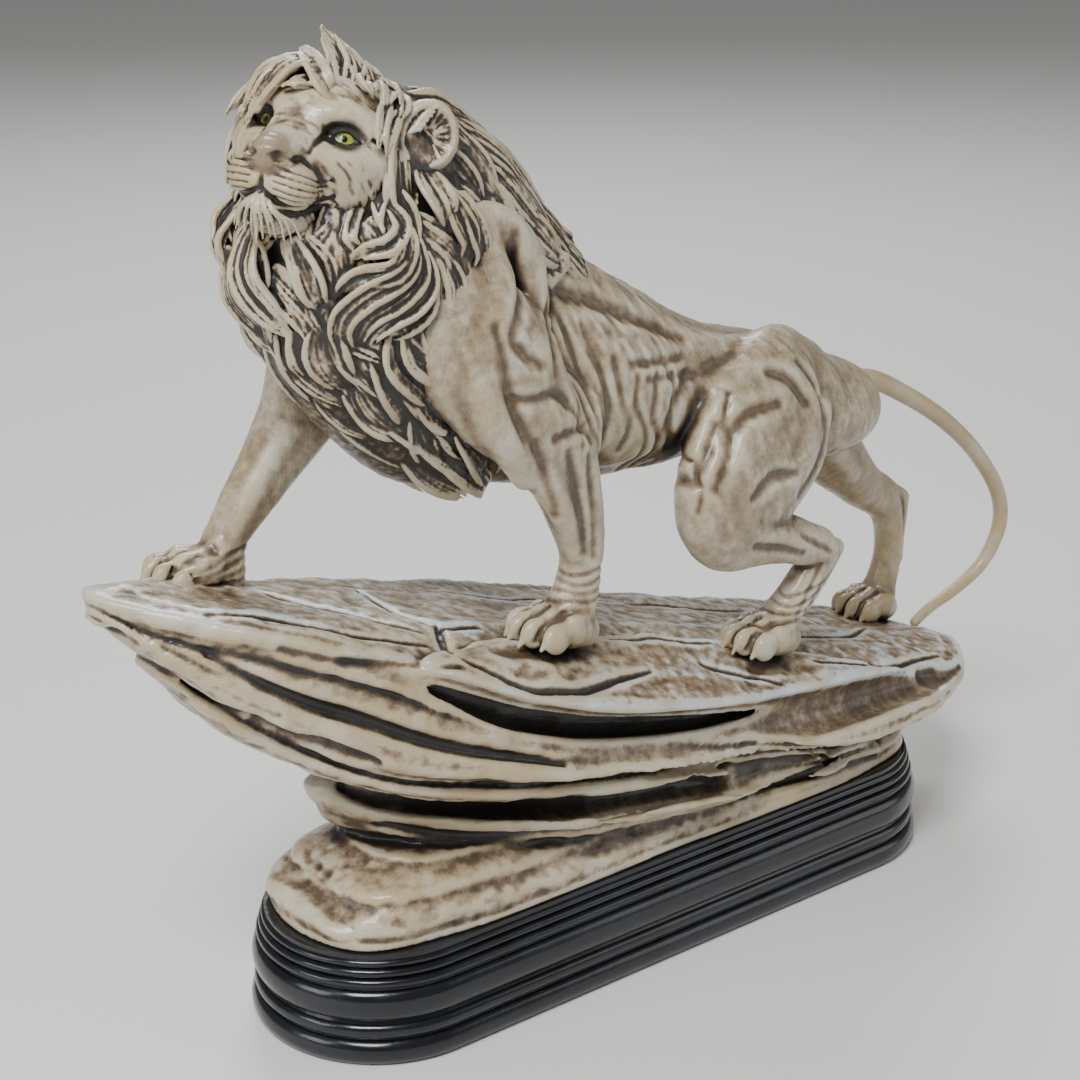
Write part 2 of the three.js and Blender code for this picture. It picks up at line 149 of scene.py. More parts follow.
class Clay:
    """A block to model in.

    Each point of its grid holds the distance in millimetres to the surface, negative inside.
    """

    def __init__(self, low, high, pitch):
        self.low = np.array(low, float)
        self.pitch = pitch
        counts = np.ceil((np.array(high) - self.low) / pitch).astype(int) + 1
        self.axes = [(self.low[k] + pitch * np.arange(counts[k])).astype(np.float32) for k in range(3)]
        self.field = np.full(counts, FAR, np.float32)
        self.turn = np.eye(3)
        self.place = np.zeros(3)

    def window(self, low, high):
        top = np.array(self.field.shape)
        first = np.clip(np.floor((np.asarray(low) - self.low) / self.pitch).astype(int), 0, top - 1)
        last = np.clip(np.ceil((np.asarray(high) - self.low) / self.pitch).astype(int) + 1, first + 1, top)
        return tuple(slice(int(a), int(b)) for a, b in zip(first, last))

    def points(self, cut):
        x, y, z = (axis[part] for axis, part in zip(self.axes, cut))
        return x[:, None, None], y[None, :, None], z[None, None, :]

    def blend(self, cut, distance, soft=0.0, carve=False):
        """Joins a form on, or carves it away, with a fillet about `soft` wide."""
        field = self.field[cut]
        other = -distance if carve else distance
        fillet = 0.0
        if soft:
            fillet = np.maximum(soft - np.abs(field - other), 0) ** 2 / (4 * soft)
        if carve:
            self.field[cut] = np.maximum(field, other) + fillet
        else:
            self.field[cut] = np.minimum(field, other) - fillet

    def segments(self, path, across, margin):
        """Each step of a tube, as a window and the distances in it.

        A row of the path is x, y, z and a radius, or two half widths.
        """
        path = path.astype(np.float32)
        for a, b in zip(path, path[1:]):
            near = float(max(a[3:].max(), b[3:].max())) + margin
            part = self.window(np.minimum(a[:3], b[:3]) - near, np.maximum(a[:3], b[:3]) + near)
            x, y, z = self.points(part)
            step = b[:3] - a[:3]
            size = float(step @ step) or 1e-6
            share = ((x - a[0]) * step[0] + (y - a[1]) * step[1] + (z - a[2]) * step[2]) / size
            share = np.clip(share, 0, 1)
            dx, dy, dz = (axis - start - share * way for axis, start, way in zip((x, y, z), a, step))
            square = dx * dx + dy * dy + dz * dz
            if across is None:
                yield part, np.sqrt(square) - (a[3] + share * (b[3] - a[3]))
                continue
            wide = unit(across - step * float(np.dot(across, step)) / size).astype(np.float32)
            side = (dx * wide[0] + dy * wide[1] + dz * wide[2]) ** 2
            rest = np.maximum(square - side, 0)
            half = (a[3] + share * (b[3] - a[3])) ** 2
            deep = (a[4] + share * (b[4] - a[4])) ** 2
            scaled = np.sqrt(side / half + rest / deep) + 1e-6
            steep = np.sqrt(side / half**2 + rest / deep**2) + 1e-6
            yield part, scaled * (scaled - 1) / steep

    def tube(self, path, across=None, margin=3.0):
        """The window round a whole tube, and the distances to it."""
        reach = float(path[:, 3:].max()) + margin + self.pitch
        cut = self.window(path[:, :3].min(0) - reach, path[:, :3].max(0) + reach)
        distance = np.full([part.stop - part.start for part in cut], FAR, np.float32)
        for part, found in self.segments(path, across, margin):
            inner = distance[tuple(slice(p.start - c.start, p.stop - c.start) for p, c in zip(part, cut))]
            np.minimum(inner, found, out=inner)
        return cut, distance

    def lay(self, path, across=None):
        """Lays a tube on with a crisp join."""
        for part, found in self.segments(path, across, 1.2):
            field = self.field[part]
            np.minimum(field, found, out=field)

    def limb(self, stations, soft=3.0, across=(0, -1, 0), spacing=3.0):
        """Joins on a limb of oval section; a station is x, y, z, half its width across and half its depth."""
        cut, distance = self.tube(smooth_line(stations, spacing), np.array(across, float), soft + 2)
        self.blend(cut, distance, soft)

    def cord(self, stations, soft=0.0, carve=False, spacing=2.5):
        """Joins on or carves away a round cord; a station is x, y, z and a radius."""
        cut, distance = self.tube(smooth_line(stations, spacing), None, soft + 2)
        self.blend(cut, distance, soft, carve)

    def ball(self, centre, radii, turn=(0, 0, 0), soft=3.0, carve=False):
        reach = max(radii) + soft + 2
        cut = self.window(np.subtract(centre, reach), np.add(centre, reach))
        x, y, z = self.points(cut)
        facing = np.array(Euler([math.radians(angle) for angle in turn]).to_matrix()).T
        offset = (x - centre[0], y - centre[1], z - centre[2])
        turned = [sum(row[k] * offset[k] for k in range(3)) for row in facing]
        scaled = np.sqrt(sum((part / radius) ** 2 for part, radius in zip(turned, radii))) + 1e-6
        steep = np.sqrt(sum((part / radius**2) ** 2 for part, radius in zip(turned, radii))) + 1e-6
        self.blend(cut, (scaled * (scaled - 1) / steep).astype(np.float32), soft, carve)

    def read(self, points, values=None):
        """The field, or another grid of values, at any points."""
        values = self.field if values is None else values
        cell = (points - self.low) / self.pitch
        top = np.array(values.shape) - 1.001
        inside = np.all((cell >= 0) & (cell <= top), axis=1)
        cell = np.clip(cell, 0, top)
        base = cell.astype(np.int32)
        share = cell - base
        total = np.zeros(len(points))
        for corner in itertools.product((0, 1), repeat=3):
            weight = np.prod([share[:, k] if corner[k] else 1 - share[:, k] for k in range(3)], axis=0)
            total += weight * values[base[:, 0] + corner[0], base[:, 1] + corner[1], base[:, 2] + corner[2]]
        return np.where(inside, total, FAR)

    def settle(self, points, heart):
        """Points moved onto the surface, along lines towards a heart inside it."""
        points = np.array(points, float)
        way = np.broadcast_to(heart, points.shape) - points
        steps = np.linspace(-0.7, 0.97, 170)  # from well outside the point to just short of the heart
        lines = points[:, None] + way[:, None] * steps[None, :, None]
        found = self.read(lines.reshape(-1, 3)).reshape(len(points), -1)
        first = np.maximum(np.argmax(found < 0, axis=1), 1)
        row = np.arange(len(points))
        before, after = found[row, first - 1], found[row, first]
        share = np.clip(before / (before - after + 1e-9), 0, 1)
        stop = steps[first - 1] + share * (steps[1] - steps[0])
        return points + way * stop[:, None]

    def stroke(self, line, radius, soft=1.0, heart=None, sink=0.0, blunt=0.0):
        """A groove drawn on the surface, fading out at both ends unless it is blunt."""
        path = smooth_line(line, 2.0)
        heart = np.array(heart, float) if heart is not None else path * [1, 0, 1]
        settled = self.settle(path, heart)
        settled += unit(heart - settled) * sink
        swell = blunt + (1 - blunt) * np.sin(np.pi * np.linspace(0.04, 0.96, len(path))) ** 0.6
        cut, distance = self.tube(np.column_stack([settled, radius * swell]), None, soft + 2)
        self.blend(cut, distance, soft, carve=True)

    def roughen(self, amount):
        """Moves the surface by amount(x, y, z), outwards where it is above zero."""
        shell = np.nonzero(np.abs(self.field) < 5)
        x, y, z = (axis[index] for axis, index in zip(self.axes, shell))
        self.field[shell] -= amount(x, y, z).astype(np.float32)

    def occupied(self):
        """The share of each cell that is filled."""
        return np.clip(0.5 - self.field / self.pitch, 0, 1)


def blurred(values, reach):
    """Values averaged over a cube `reach` cells to each side, twice."""
    for axis in (0, 0, 1, 1, 2, 2):
        pad = [(reach + 1, reach) if k == axis else (0, 0) for k in range(3)]
        total = np.cumsum(np.pad(values, pad, mode="edge"), axis=axis, dtype=np.float32)
        width = 2 * reach + 1
        upper = np.take(total, range(width, total.shape[axis]), axis=axis)
        lower = np.take(total, range(0, total.shape[axis] - width), axis=axis)
        values = (upper - lower) / width
    return values


CLAYS = {}  # the clay of each piece that has been modelled, for the finish to read


def lock(clay, path, outward, width, thick=1.0, cup=0.8, lift=0.0, seed=0):
    """A lock of hair: a leaf-shaped body scored into strands, which draw together at its tip."""
    line = smooth_line(path, 2.4)[:, :3]
    count = len(line)
    along = np.linspace(0, 1, count)
    run = unit(np.gradient(line, axis=0))
    out = unit(outward(line))
    side = unit(np.cross(run, out))
    spread = width / 2 * np.sin(np.pi * (0.12 + 0.85 * along)) ** 0.75
    body = np.sin(np.pi * (0.16 + 0.72 * along))
    chance = np.random.default_rng(seed)
    line = line + out * (lift * np.sin(np.pi * np.clip(along * 1.1, 0, 1)))[:, None]
    strands = max(4, round(width / STRAND_SPACING) + 1)
    rise = chance.uniform(-0.35, 0.35, strands)
    for k in range(strands):
        place = 2 * k / (strands - 1) - 1
        size = thick * chance.uniform(0.78, 1.06)
        late = chance.uniform(0, 0.16) * abs(place)
        keep = along <= 1 - late
        wander = 0.3 * np.sin(along * chance.uniform(4, 8) + chance.uniform(0, 6))
        centre = line + side * (place * spread + wander)[:, None]
        centre += out * ((cup * (place**2 - 0.4) + rise[k]) * body)[:, None]
        radius = size * (0.45 + 0.55 * body) * np.minimum(
            1, 0.25 + np.minimum(1 - late - along, 2 * along + 0.15) * 3,
        )
        clay.lay(np.column_stack([centre, np.maximum(radius, 0.3)])[keep])
    core = np.column_stack([
        line - out * (thick - 0.2 * np.minimum(cup, 0)), np.maximum(spread, 0.5), np.full(count, thick * 0.9),
    ])
    clay.lay(core[: max(3, int(count * 0.85))], side.mean(0))


# ---------------------------------------------------------------- rock ledge

LEDGE_TIP, LEDGE_END, LEDGE_HALF_WIDTH = -198.0, 196.0, 57.6

LEDGE_PLAN = [
    (LEDGE_TIP, 17), (-172, -14), (-130, -36), (-85, -52), (-20, -LEDGE_HALF_WIDTH), (60, -57), (122, -50),
    (164, -30), (LEDGE_END - 8, 0), (LEDGE_END, 26), (170, 44), (80, 50), (0, 52), (-80, 47), (-140, 38),
    (-184, 29),
]
SLAB_PLAN = [(-112, -38), (-96, -50), (-40, -57.5), (50, -56.5), (110, -50), (136, -42), (60, -24), (-40, -22)]
MOUND_PLAN = [
    (-142, 0), (-132, -29), (-100, -39), (0, -40), (100, -39), (132, -29), (143, 0), (132, 29), (100, 39),
    (0, 40), (-100, 39), (-132, 29),
]


def ledge_top(x, y):
    lip = 16 * ease(0.25, 1, -y / LEDGE_HALF_WIDTH) * ease(LEDGE_TIP, -60, x)
    rise = 5 * ease(130, 190, x) * ease(-20, 10, -y)
    return 117 - 0.29 * x - lip * ease(-200, -60, -x) + rise


def ledge_underside(x):
    return 70 - 0.214 * x + 0.0055 * np.minimum(0, x + 105) ** 2


def closed_outline(plan, count):
    """Evenly spaced points round a smooth plan outline."""
    keys = np.array([(x, y, 0) for x, y in plan[-2:] + plan + plan[:3]], float)
    knots, at = curve_through(keys)[:2]
    loop = at(np.linspace(knots[2], knots[2 + len(plan)], 4000))[:, :2]
    length = np.concatenate([[0], np.cumsum(np.linalg.norm(np.diff(loop, axis=0), axis=1))])
    spots = np.linspace(0, length[-1], count, endpoint=False)
    return np.column_stack([np.interp(spots, length, loop[:, k]) for k in range(2)])


def bedded_rock(clay, plan, levels, centre=(0, 0), soft=2.0):
    """Rock from copies of a plan outline, one above another.

    A level is its scale along, its scale across, its shift along and a function for its height;
    the first is on top.
    """
    sides = ROCK_SIDES
    edge = closed_outline(plan, sides)
    keys = np.array([level[:3] for level in levels], float)
    shares = np.linspace(0, len(levels) - 1, (len(levels) - 1) * ROCK_RINGS + 1)
    rings = []
    for share in shares:
        low = min(int(share), len(levels) - 2)
        part = share - low
        along, across, shift = keys[low] + (keys[low + 1] - keys[low]) * ease(0, 1, part)
        x = centre[0] + (edge[:, 0] - centre[0]) * along + shift
        y = centre[1] + (edge[:, 1] - centre[1]) * across
        z = levels[low][3](x, y) * (1 - part) + levels[low + 1][3](x, y) * part
        rings.append(np.column_stack([x, y, z + 0 * x]))
    poles = [[*centre, float(level[3](*np.array(centre)))] for level in (levels[0], levels[-1])]
    points = np.vstack(rings + [np.array(poles)]).astype(np.float32)
    ring, side = np.meshgrid(np.arange(len(rings) - 1), np.arange(sides), indexing="ij")
    first, second = ring * sides + side, ring * sides + (side + 1) % sides
    quads = np.stack([first, second, second + sides, first + sides], -1).reshape(-1, 4)
    turn = np.arange(sides)
    last = (len(rings) - 1) * sides
    top = np.stack([np.full(sides, len(points) - 2), turn, (turn + 1) % sides], -1)
    foot = np.stack([np.full(sides, len(points) - 1), last + (turn + 1) % sides, last + turn], -1)
    clay.blend(*from_mesh(clay, points, np.vstack([top, foot]), quads), soft)


def from_mesh(clay, points, triangles, quads):
    """The whole window of a clay and the distances in it to a closed mesh."""
    grid = openvdb.FloatGrid.createLevelSetFromPolygons(
        ((points - clay.low) / clay.pitch).astype(np.float32),
        triangles=triangles.astype(np.uint32),
        quads=quads.astype(np.uint32),
        transform=openvdb.createLinearTransform(voxelSize=1.0),
        halfWidth=FAR / clay.pitch,
    )
    values = np.zeros(clay.field.shape, np.float32)
    grid.copyToArray(values)
    return tuple(slice(0, n) for n in clay.field.shape), values * clay.pitch


def rock_clay(pitch):
    clay = Clay((-203, -62, 38), (201, 56, 179), pitch)

    def below(depth, deeper=0):
        return lambda x, y: ledge_top(x, y) - depth - deeper * ease(-160, -40, x)

    def between(share):
        return lambda x, y: below(13, 5)(x, y) * (1 - share) + (ledge_underside(x) + 9) * share

    def above(height):
        return lambda x, y: ledge_underside(x) + height

    bedded_rock(clay, LEDGE_PLAN, [
        (0.94, 0.93, 0, below(0)),
        (0.995, 0.99, 0, below(3)),
        (0.99, 0.985, 0, below(6, 3)),
        (0.975, 0.96, -1, below(8, 5)),
        (0.89, 0.84, -14, below(12, 5)),
        (0.905, 0.88, -16, between(0.3)),
        (0.91, 0.92, -17, between(0.6)),
        (0.9, 0.93, -17, between(0.85)),
        (0.87, 0.84, -18, between(1)),
        (0.82, 0.76, -18, above(7)),
        (0.83, 0.84, -18, above(3)),
        (0.78, 0.78, -18, above(0)),
        (0.58, 0.7, 4, above(-1)),
        (0.6, 0.72, 4, above(-6)),
        (0.645, 0.84, 4, lambda x, y: 0.5 * ledge_underside(x) + 27 - 0.05 * x),
        (0.62, 0.82, 4, lambda x, y: 60 - 0.1 * x),
        (0.5, 0.62, 4, lambda x, y: 50 - 0.05 * x),
    ])
    # slab standing proud under the near feet
    bedded_rock(clay, SLAB_PLAN, [
        (0.9, 0.82, 0, lambda x, y: ledge_top(x, y) + 4),
        (0.985, 0.97, 0, lambda x, y: ledge_top(x, y) + 2),
        (1, 1, 0, lambda x, y: ledge_top(x, y) - 2),
        (0.97, 0.93, 0, lambda x, y: ledge_top(x, y) - 7),
        (0.9, 0.7, 0, lambda x, y: ledge_top(x, y) - 13),
    ], centre=(15, -42), soft=1.0)
    # mound on the plinth
    bedded_rock(clay, MOUND_PLAN, [
        (0.8, 0.7, 0, lambda x, y: 60 - 0.03 * x),
        (0.93, 0.88, 0, lambda x, y: 53 - 0.02 * x),
        (0.99, 0.985, 0, lambda x, y: 46 + 0 * x),
        (0.99, 0.985, 0, lambda x, y: 40.2 + 0 * x),
    ], soft=3.0)

    def strata(x, y, z):
        top, foot = ledge_top(x, y), np.where(x < 110, ledge_underside(x) - 6, 46)
        depth = (top - z) / np.maximum(top - foot, 12)
        flow = depth * 4.4 + 1.3 * grain(x / 70, y / 50, depth * 1.5, 1)
        beds = grain(x / 190, y / 140, flow * 1.3, 2)
        leaves = grain(x / 80, y / 60, flow * 5, 3)
        wear = grain(x / 9, y / 9, z / 5, 4)
        pits = grain(x / 3.2, y / 3.2, z / 2.2, 5)
        swell = grain(x / 26, y / 26, z / 13, 7)
        side = ease(0.02, 0.14, depth)
        runs = grain(x / 38, (y + 0.12 * x) / 7, 0.3 * z / 10, 6)
        calm = ease(40.5, 44, z)
        relief = side * (1.9 * beds + 0.3 * leaves + 1.5 * swell) + (1 - side) * (0.8 * runs + 0.5 * swell)
        relief = relief + 0.55 * wear + 0.26 * pits
        return relief * calm

    clay.roughen(strata)
    # deep recesses and gashes between the beds on the near side: line, radius and how deep it is sunk
    for line, radius, sink in [
        ([(30, -55, 85), (84, -51, 79.5), (124, -43, 74), (160, -26, 67)], 5.5, 0.5),
        (
            [
                (-136, -30, 147), (-122, -39, 141), (-105, -44, 131), (-84, -49, 118), (-48, -53, 103),
                (-5, -55, 93), (50, -54, 84), (108, -48, 77), (140, -38, 72),
            ],
            10.5, -1.5,
        ),
        (
            [(-116, -38, 139), (-98, -42, 129), (-80, -46, 119), (-48, -49, 107), (-8, -51, 97), (44, -50, 88)],
            6.0, 4.5,
        ),
        (
            [
                (-172, -9, 152), (-158, -21, 142), (-147, -26, 135), (-131, -34, 127), (-108, -42, 115),
                (-62, -48, 97),
            ],
            2.5, 0.8,
        ),
        ([(-174, 4, 141), (-162, -10, 129), (-146, -22, 120), (-126, -31, 111)], 4.0, 1.8),
        (
            [
                (-116, 2, 84), (-104, -14, 83), (-84, -28, 81), (-50, -40, 75), (-10, -46, 69), (30, -46, 63),
                (72, -44, 56),
            ],
            7.6, 0.8,
        ),
        ([(-108, -4, 70), (-84, -22, 66), (-50, -34, 62), (-10, -40, 57), (36, -42, 51)], 3.0, 1.2),
        ([(-154, -22, 154), (-135, -34, 148), (-112, -40, 143), (-98, -42, 140)], 1.4, 0.3),
        ([(-66, -50, 92), (-20, -52, 83), (40, -52, 72)], 1.6, 0.2),
        ([(60, -52, 66), (100, -46, 60), (132, -34, 55)], 2.6, 0.8),
        ([(20, -50, 56), (70, -48, 49), (108, -42, 45)], 2.2, 0.6),
    ]:
        clay.stroke(
            line, radius, soft=2.5, heart=np.array([[p[0], 0, p[2] - 4] for p in smooth_line(line, 2.0)]),
            sink=sink,
        )
    # cracks and steps of the walking surface
    for line, radius in [
        ([(-139, 22, 157), (-128, 5, 155), (-114, -6, 150), (-98, -20, 145)], 1.7),
        ([(-170, -9, 164), (-150, -14, 160), (-126, -24, 152), (-100, -27, 143)], 1.2),
        ([(-93, 25, 144), (-94, 2, 143), (-87, -14, 141), (-70, -14, 137)], 2.4),
        ([(-86, -12, 141), (-92, -24, 141), (-97, -36, 139)], 2.0),
        (
            [
                (-95, -40, 140), (-84, -46, 134), (-70, -50, 128), (-50, -49, 123), (-34, -45, 119),
                (-16, -41, 115),
            ],
            1.9,
        ),
        ([(-38, -24, 127), (-3, -24, 119), (26, -26, 110)], 1.5),
        ([(12, -36, 110), (28, -40, 104), (44, -45, 97)], 1.2),
        ([(71, -35, 94), (102, -35, 86), (150, -28, 74)], 1.6),
        ([(86, -12, 93), (113, -11, 86), (140, 2, 78)], 1.4),
        ([(-60, 30, 133), (-20, 26, 122), (30, 30, 108), (90, 26, 92)], 1.1),
    ]:
        clay.stroke(
            line, radius, soft=1.2, heart=np.array([[p[0], p[1], p[2] - 40] for p in smooth_line(line, 2.0)]),
            sink=0.3,
        )
    # plainer beds on the far side
    for k in range(9):
        start = -150 + 14 * k
        drop = 0.12 + 0.085 * k
        xs = np.linspace(start, start + 210 - 8 * k, 7)
        line = [(
            x, 46,
            (1 - drop) * ledge_top(x, 40) + drop * (ledge_underside(x) - 8) + 2.5 * math.sin(0.03 * x + k),
        ) for x in xs]
        clay.stroke(line, 1.4 + 0.9 * (k % 3), soft=2.0)
    return clay


# ---------------------------------------------------------------- lion's body

GROUND = (117.0, -0.29)


def ground(x):
    return GROUND[0] + GROUND[1] * x


def paw(clay, x, y, length, width, sink=0.0):
    """A four-toed paw lying along the ledge and pointing towards -X, from its heel at x, y."""
    tilt = math.degrees(math.atan(-GROUND[1]))

    def level(px):
        return ground(px) + sink

    clay.limb([
        (x - 4, y, level(x - 4) + 6, width * 0.3, 6.5),
        (x - length * 0.35, y, level(x - length * 0.35) + 7, width * 0.43, 8),
        (x - length * 0.62, y, level(x - length * 0.62) + 5.5, width * 0.44, 6.5),
    ], soft=3)
    for toe in range(4):
        spread = (toe - 1.5) / 1.5
        reach = length * (0.86 - 0.15 * spread * spread)
        tx, ty = x - reach, y + spread * width * 0.38
        clay.ball(
            (tx, ty, level(tx) + 4.6), (length * 0.2, width * 0.145, 5.4), (0, tilt, -9 * spread), soft=0.8,
        )
        clay.ball(
            (tx + 7, ty * 0.94 + y * 0.06, level(tx + 7) + 7.6), (6.5, width * 0.13, 4.4),
            (0, tilt, -9 * spread), soft=1.5,
        )
        clay.cord(
            [
                (tx + 7, ty, level(tx) + 9.5, 1.7),
                (tx + 15, y + spread * width * 0.26, level(tx + 15) + 13, 1.4),
                (x - 4, y + spread * width * 0.16, level(x) + 20, 1.0),
            ],
            soft=2,
        )
        clay.cord(
            [(tx - length * 0.15, ty, level(tx) + 4.4, 1.5), (tx - length * 0.235, ty, level(tx) + 1.6, 0.7)],
            soft=0.6,
        )
    for gap in range(3):
        spread = (gap - 1) / 1.5
        reach = length * (0.98 - 0.12 * spread * spread)
        gx, gy = x - reach, y + spread * width * 0.38
        clay.cord([
            (gx, gy, level(gx) + 2, 1.1), (gx + 5, gy, level(gx) + 8.5, 0.9),
            (gx + 13, gy * 0.9 + y * 0.1, level(gx + 13) + 13, 0.7),
        ], soft=0.9, carve=True)


def body_clay(pitch):
    clay = Clay((-176, -60, 62), (234, 50, 322), pitch)
    clay.limb([
        (121, 0, 179, 8, 8), (110, 0, 181, 21, 17), (90, 0, 184, 27, 21), (62, 0, 194, 27, 23),
        (35, 0, 200, 24, 24),
        (8, 0, 206, 27, 30), (-22, 0, 215, 31, 37), (-50, 0, 223, 31, 40), (-74, 0, 229, 26, 36),
        (-92, 0, 236, 18, 28),
        (-104, 0, 242, 12, 18),
    ])
    clay.limb(
        [
            (-2, 0, 226, 14, 12), (-26, 0, 242, 17, 13.5), (-50, 0, 261, 19, 16), (-70, 0, 280, 19, 17),
            (-84, 0, 294, 16, 13),
        ],
        soft=8,
    )
    # near foreleg, braced under the chest
    clay.limb([
        (-84, -24, 268, 9, 15), (-88, -31, 250, 13, 22), (-76, -35, 230, 14, 22), (-62, -36, 212, 12.5, 17),
        (-51, -35, 195, 10.5, 13), (-45, -34, 178, 8.6, 9.6), (-41, -33, 163, 7, 7.6),
        (-42, -32, 150, 7.6, 8.2), (-45, -31, 141, 8.5, 9),
    ], soft=5)
    # far foreleg, reaching forwards
    clay.limb([
        (-84, 20, 262, 9, 16), (-92, 26, 244, 12, 22), (-103, 28, 226, 12, 19), (-111, 28, 212, 11, 14.5),
        (-121, 29, 197, 9.5, 10.5), (-132, 30, 184, 8.2, 8.8), (-140, 31, 172, 7.4, 7.6),
        (-143, 31, 160, 8.6, 8.6),
    ], soft=5)
    # near hind leg, bent under the hip
    clay.limb([
        (74, -12, 197, 13, 20), (57, -22, 192, 15, 31), (40, -29, 181, 15, 31), (26, -33, 168, 12.5, 24),
        (27, -34, 156, 10.5, 14.5), (46, -34, 150, 8.6, 10.6), (62, -33, 144, 6.8, 8.6),
        (75, -32, 137, 6.2, 7.4), (68, -31, 128, 6.2, 6.2),
        (60, -31, 119, 6.8, 6.8), (52, -31, 112, 8, 7),
    ], soft=5)
    # far hind leg, pushing back
    clay.limb([
        (88, 10, 194, 12, 16), (104, 18, 182, 14, 22), (122, 22, 166, 12.5, 18.5), (140, 25, 147, 10.5, 13.5),
        (158, 27, 131, 8.6, 10), (174, 28, 119, 6.8, 8.2), (178, 28, 106, 6.2, 6.2), (178, 28, 92, 6.2, 6.2),
        (174, 28, 80, 7.2, 6.8), (170, 28, 74, 8, 7),
    ], soft=5)
    clay.limb([
        (100, 2, 187, 7, 7), (110, 3, 187.5, 5.4, 5.4), (120, 4, 187.2, 4.4, 4.4), (137, 5, 184.5, 4, 4),
        (156, 5, 175.5, 3.8, 3.8), (182, 5, 159.5, 3.6, 3.6),
        (206, 6, 139.5, 3.4, 3.4), (223, 7, 118, 3.3, 3.3), (226.5, 8, 103, 3.2, 3.2), (220, 10, 87, 2.9, 2.9),
        (205, 12, 77, 2.6, 2.6),
        (192, 14, 71, 2.3, 2.3), (184, 15, 66, 2.2, 2.2),
    ], soft=4)

    # muscles of the near shoulder and foreleg
    clay.cord(
        [
            (-84, -26, 282, 5), (-70, -27, 277, 6.5), (-59, -27, 264, 6.5), (-58, -30, 250, 5.5),
            (-63, -36, 240, 4),
        ],
        soft=6,
    )
    clay.cord([(-78, -30, 274, 4), (-77, -36, 260, 5.5), (-81, -40, 248, 6.5), (-84, -41, 236, 6)], soft=6)
    clay.ball((-70, -40, 236), (15, 8.5, 10), (0, 35, 0), soft=2.5)
    clay.ball((-65, -40.5, 219), (14, 9, 8), (0, 25, 0), soft=2)
    clay.cord([(-91, -40, 242, 6), (-88, -43, 226, 6.5), (-79, -43, 211, 6), (-70, -40, 198, 4.5)], soft=2.5)
    clay.cord([(-50, -30, 222, 6), (-42, -35, 212, 5.5), (-41, -37, 202, 4)], soft=2)
    clay.cord([(-70, -40, 206, 6), (-62, -41, 194, 5.5), (-53, -39, 180, 4.2), (-46, -36, 166, 3)], soft=2.2)
    clay.cord([(-45, -38, 203, 4.5), (-42, -39, 190, 4), (-38, -37, 174, 3), (-37, -35, 161, 2.4)], soft=2)
    # and of the far ones, which show from the front
    clay.cord([(-98, 34, 244, 5), (-108, 35, 224, 6), (-118, 34.5, 206, 4.5), (-132, 35.5, 184, 3)], soft=7)
    clay.cord([(-86, 33, 242, 5), (-92, 35, 224, 6), (-100, 33, 208, 4)], soft=7)
    clay.cord([(-120, 22, 208, 4), (-132, 24, 190, 3.4), (-142, 26, 172, 2.6)], soft=2.5)
    for side in (NEAR, OFF):
        # loin, hip bone and haunch
        clay.cord(
            [
                (-20, side * 14, 240, 6), (10, side * 16, 224, 6), (45, side * 15, 214, 6),
                (80, side * 13, 203, 6), (104, side * 9, 192, 5),
            ],
            soft=5,
        )
        clay.ball(
            (58, side * (26 if side == NEAR else 21), 203), (13, 8, 8), (0, 20, 0),
            soft=6 if side == NEAR else 12,
        )
        clay.ball((80, side * 17, 196), (14, 9, 10), (0, 25, 0), soft=4)
        clay.ball((-20, side * 23, 212), (30, 12, 22), (0, 18, 0), soft=8)
    clay.cord([(22, -24, 208, 4.5), (32, -26.5, 209, 5), (45, -26, 210, 4.5)], soft=4)
    clay.cord([(26, -28, 206, 4), (20, -30.5, 199, 4), (15, -30, 189, 3.4)], soft=4)
    clay.cord([(44, -32, 200, 6), (26, -35, 188, 8), (14, -35.5, 174, 7.5), (12, -35, 164, 6)], soft=6)
    clay.cord([(62, -30, 196, 7), (58, -34.5, 182, 7), (44, -38.5, 170, 5), (34, -38.5, 160, 4)], soft=5)
    clay.cord([(74, -26, 190, 6), (68, -31, 176, 5.5), (54, -36, 166, 4), (44, -37, 157, 3.5)], soft=4)
    clay.ball((13, -34, 166), (6.5, 7, 7), soft=2.5)
    clay.cord([(26, -40, 160, 5), (40, -40, 154, 4.5), (56, -38, 147, 3)], soft=2)
    clay.cord([(60, -34, 150, 2.6), (70, -33, 143, 2.6), (80, -32, 137, 3.4)], soft=1.5)
    clay.cord([(82, -32, 137, 4), (76, -31.5, 128, 3.6), (68, -31, 118, 3.4)], soft=1.5)
    clay.cord([(124, 30, 170, 6), (140, 32, 152, 5), (158, 33, 136, 3.4)], soft=3)
    clay.cord([(104, 12, 178, 7), (122, 14, 160, 6), (142, 19, 142, 4)], soft=3)
    clay.cord([(160, 27, 136, 3), (174, 27, 127, 3), (184, 28, 120, 3.6)], soft=2)
    clay.cord([(185, 28, 119, 3.6), (184, 28, 106, 3.2), (184, 28, 92, 3)], soft=1.5)

    # furrows of the trunk, on both sides
    for side in (NEAR, OFF):
        def drawn(points):
            return [(x, side * 30, z) for x, z in points]

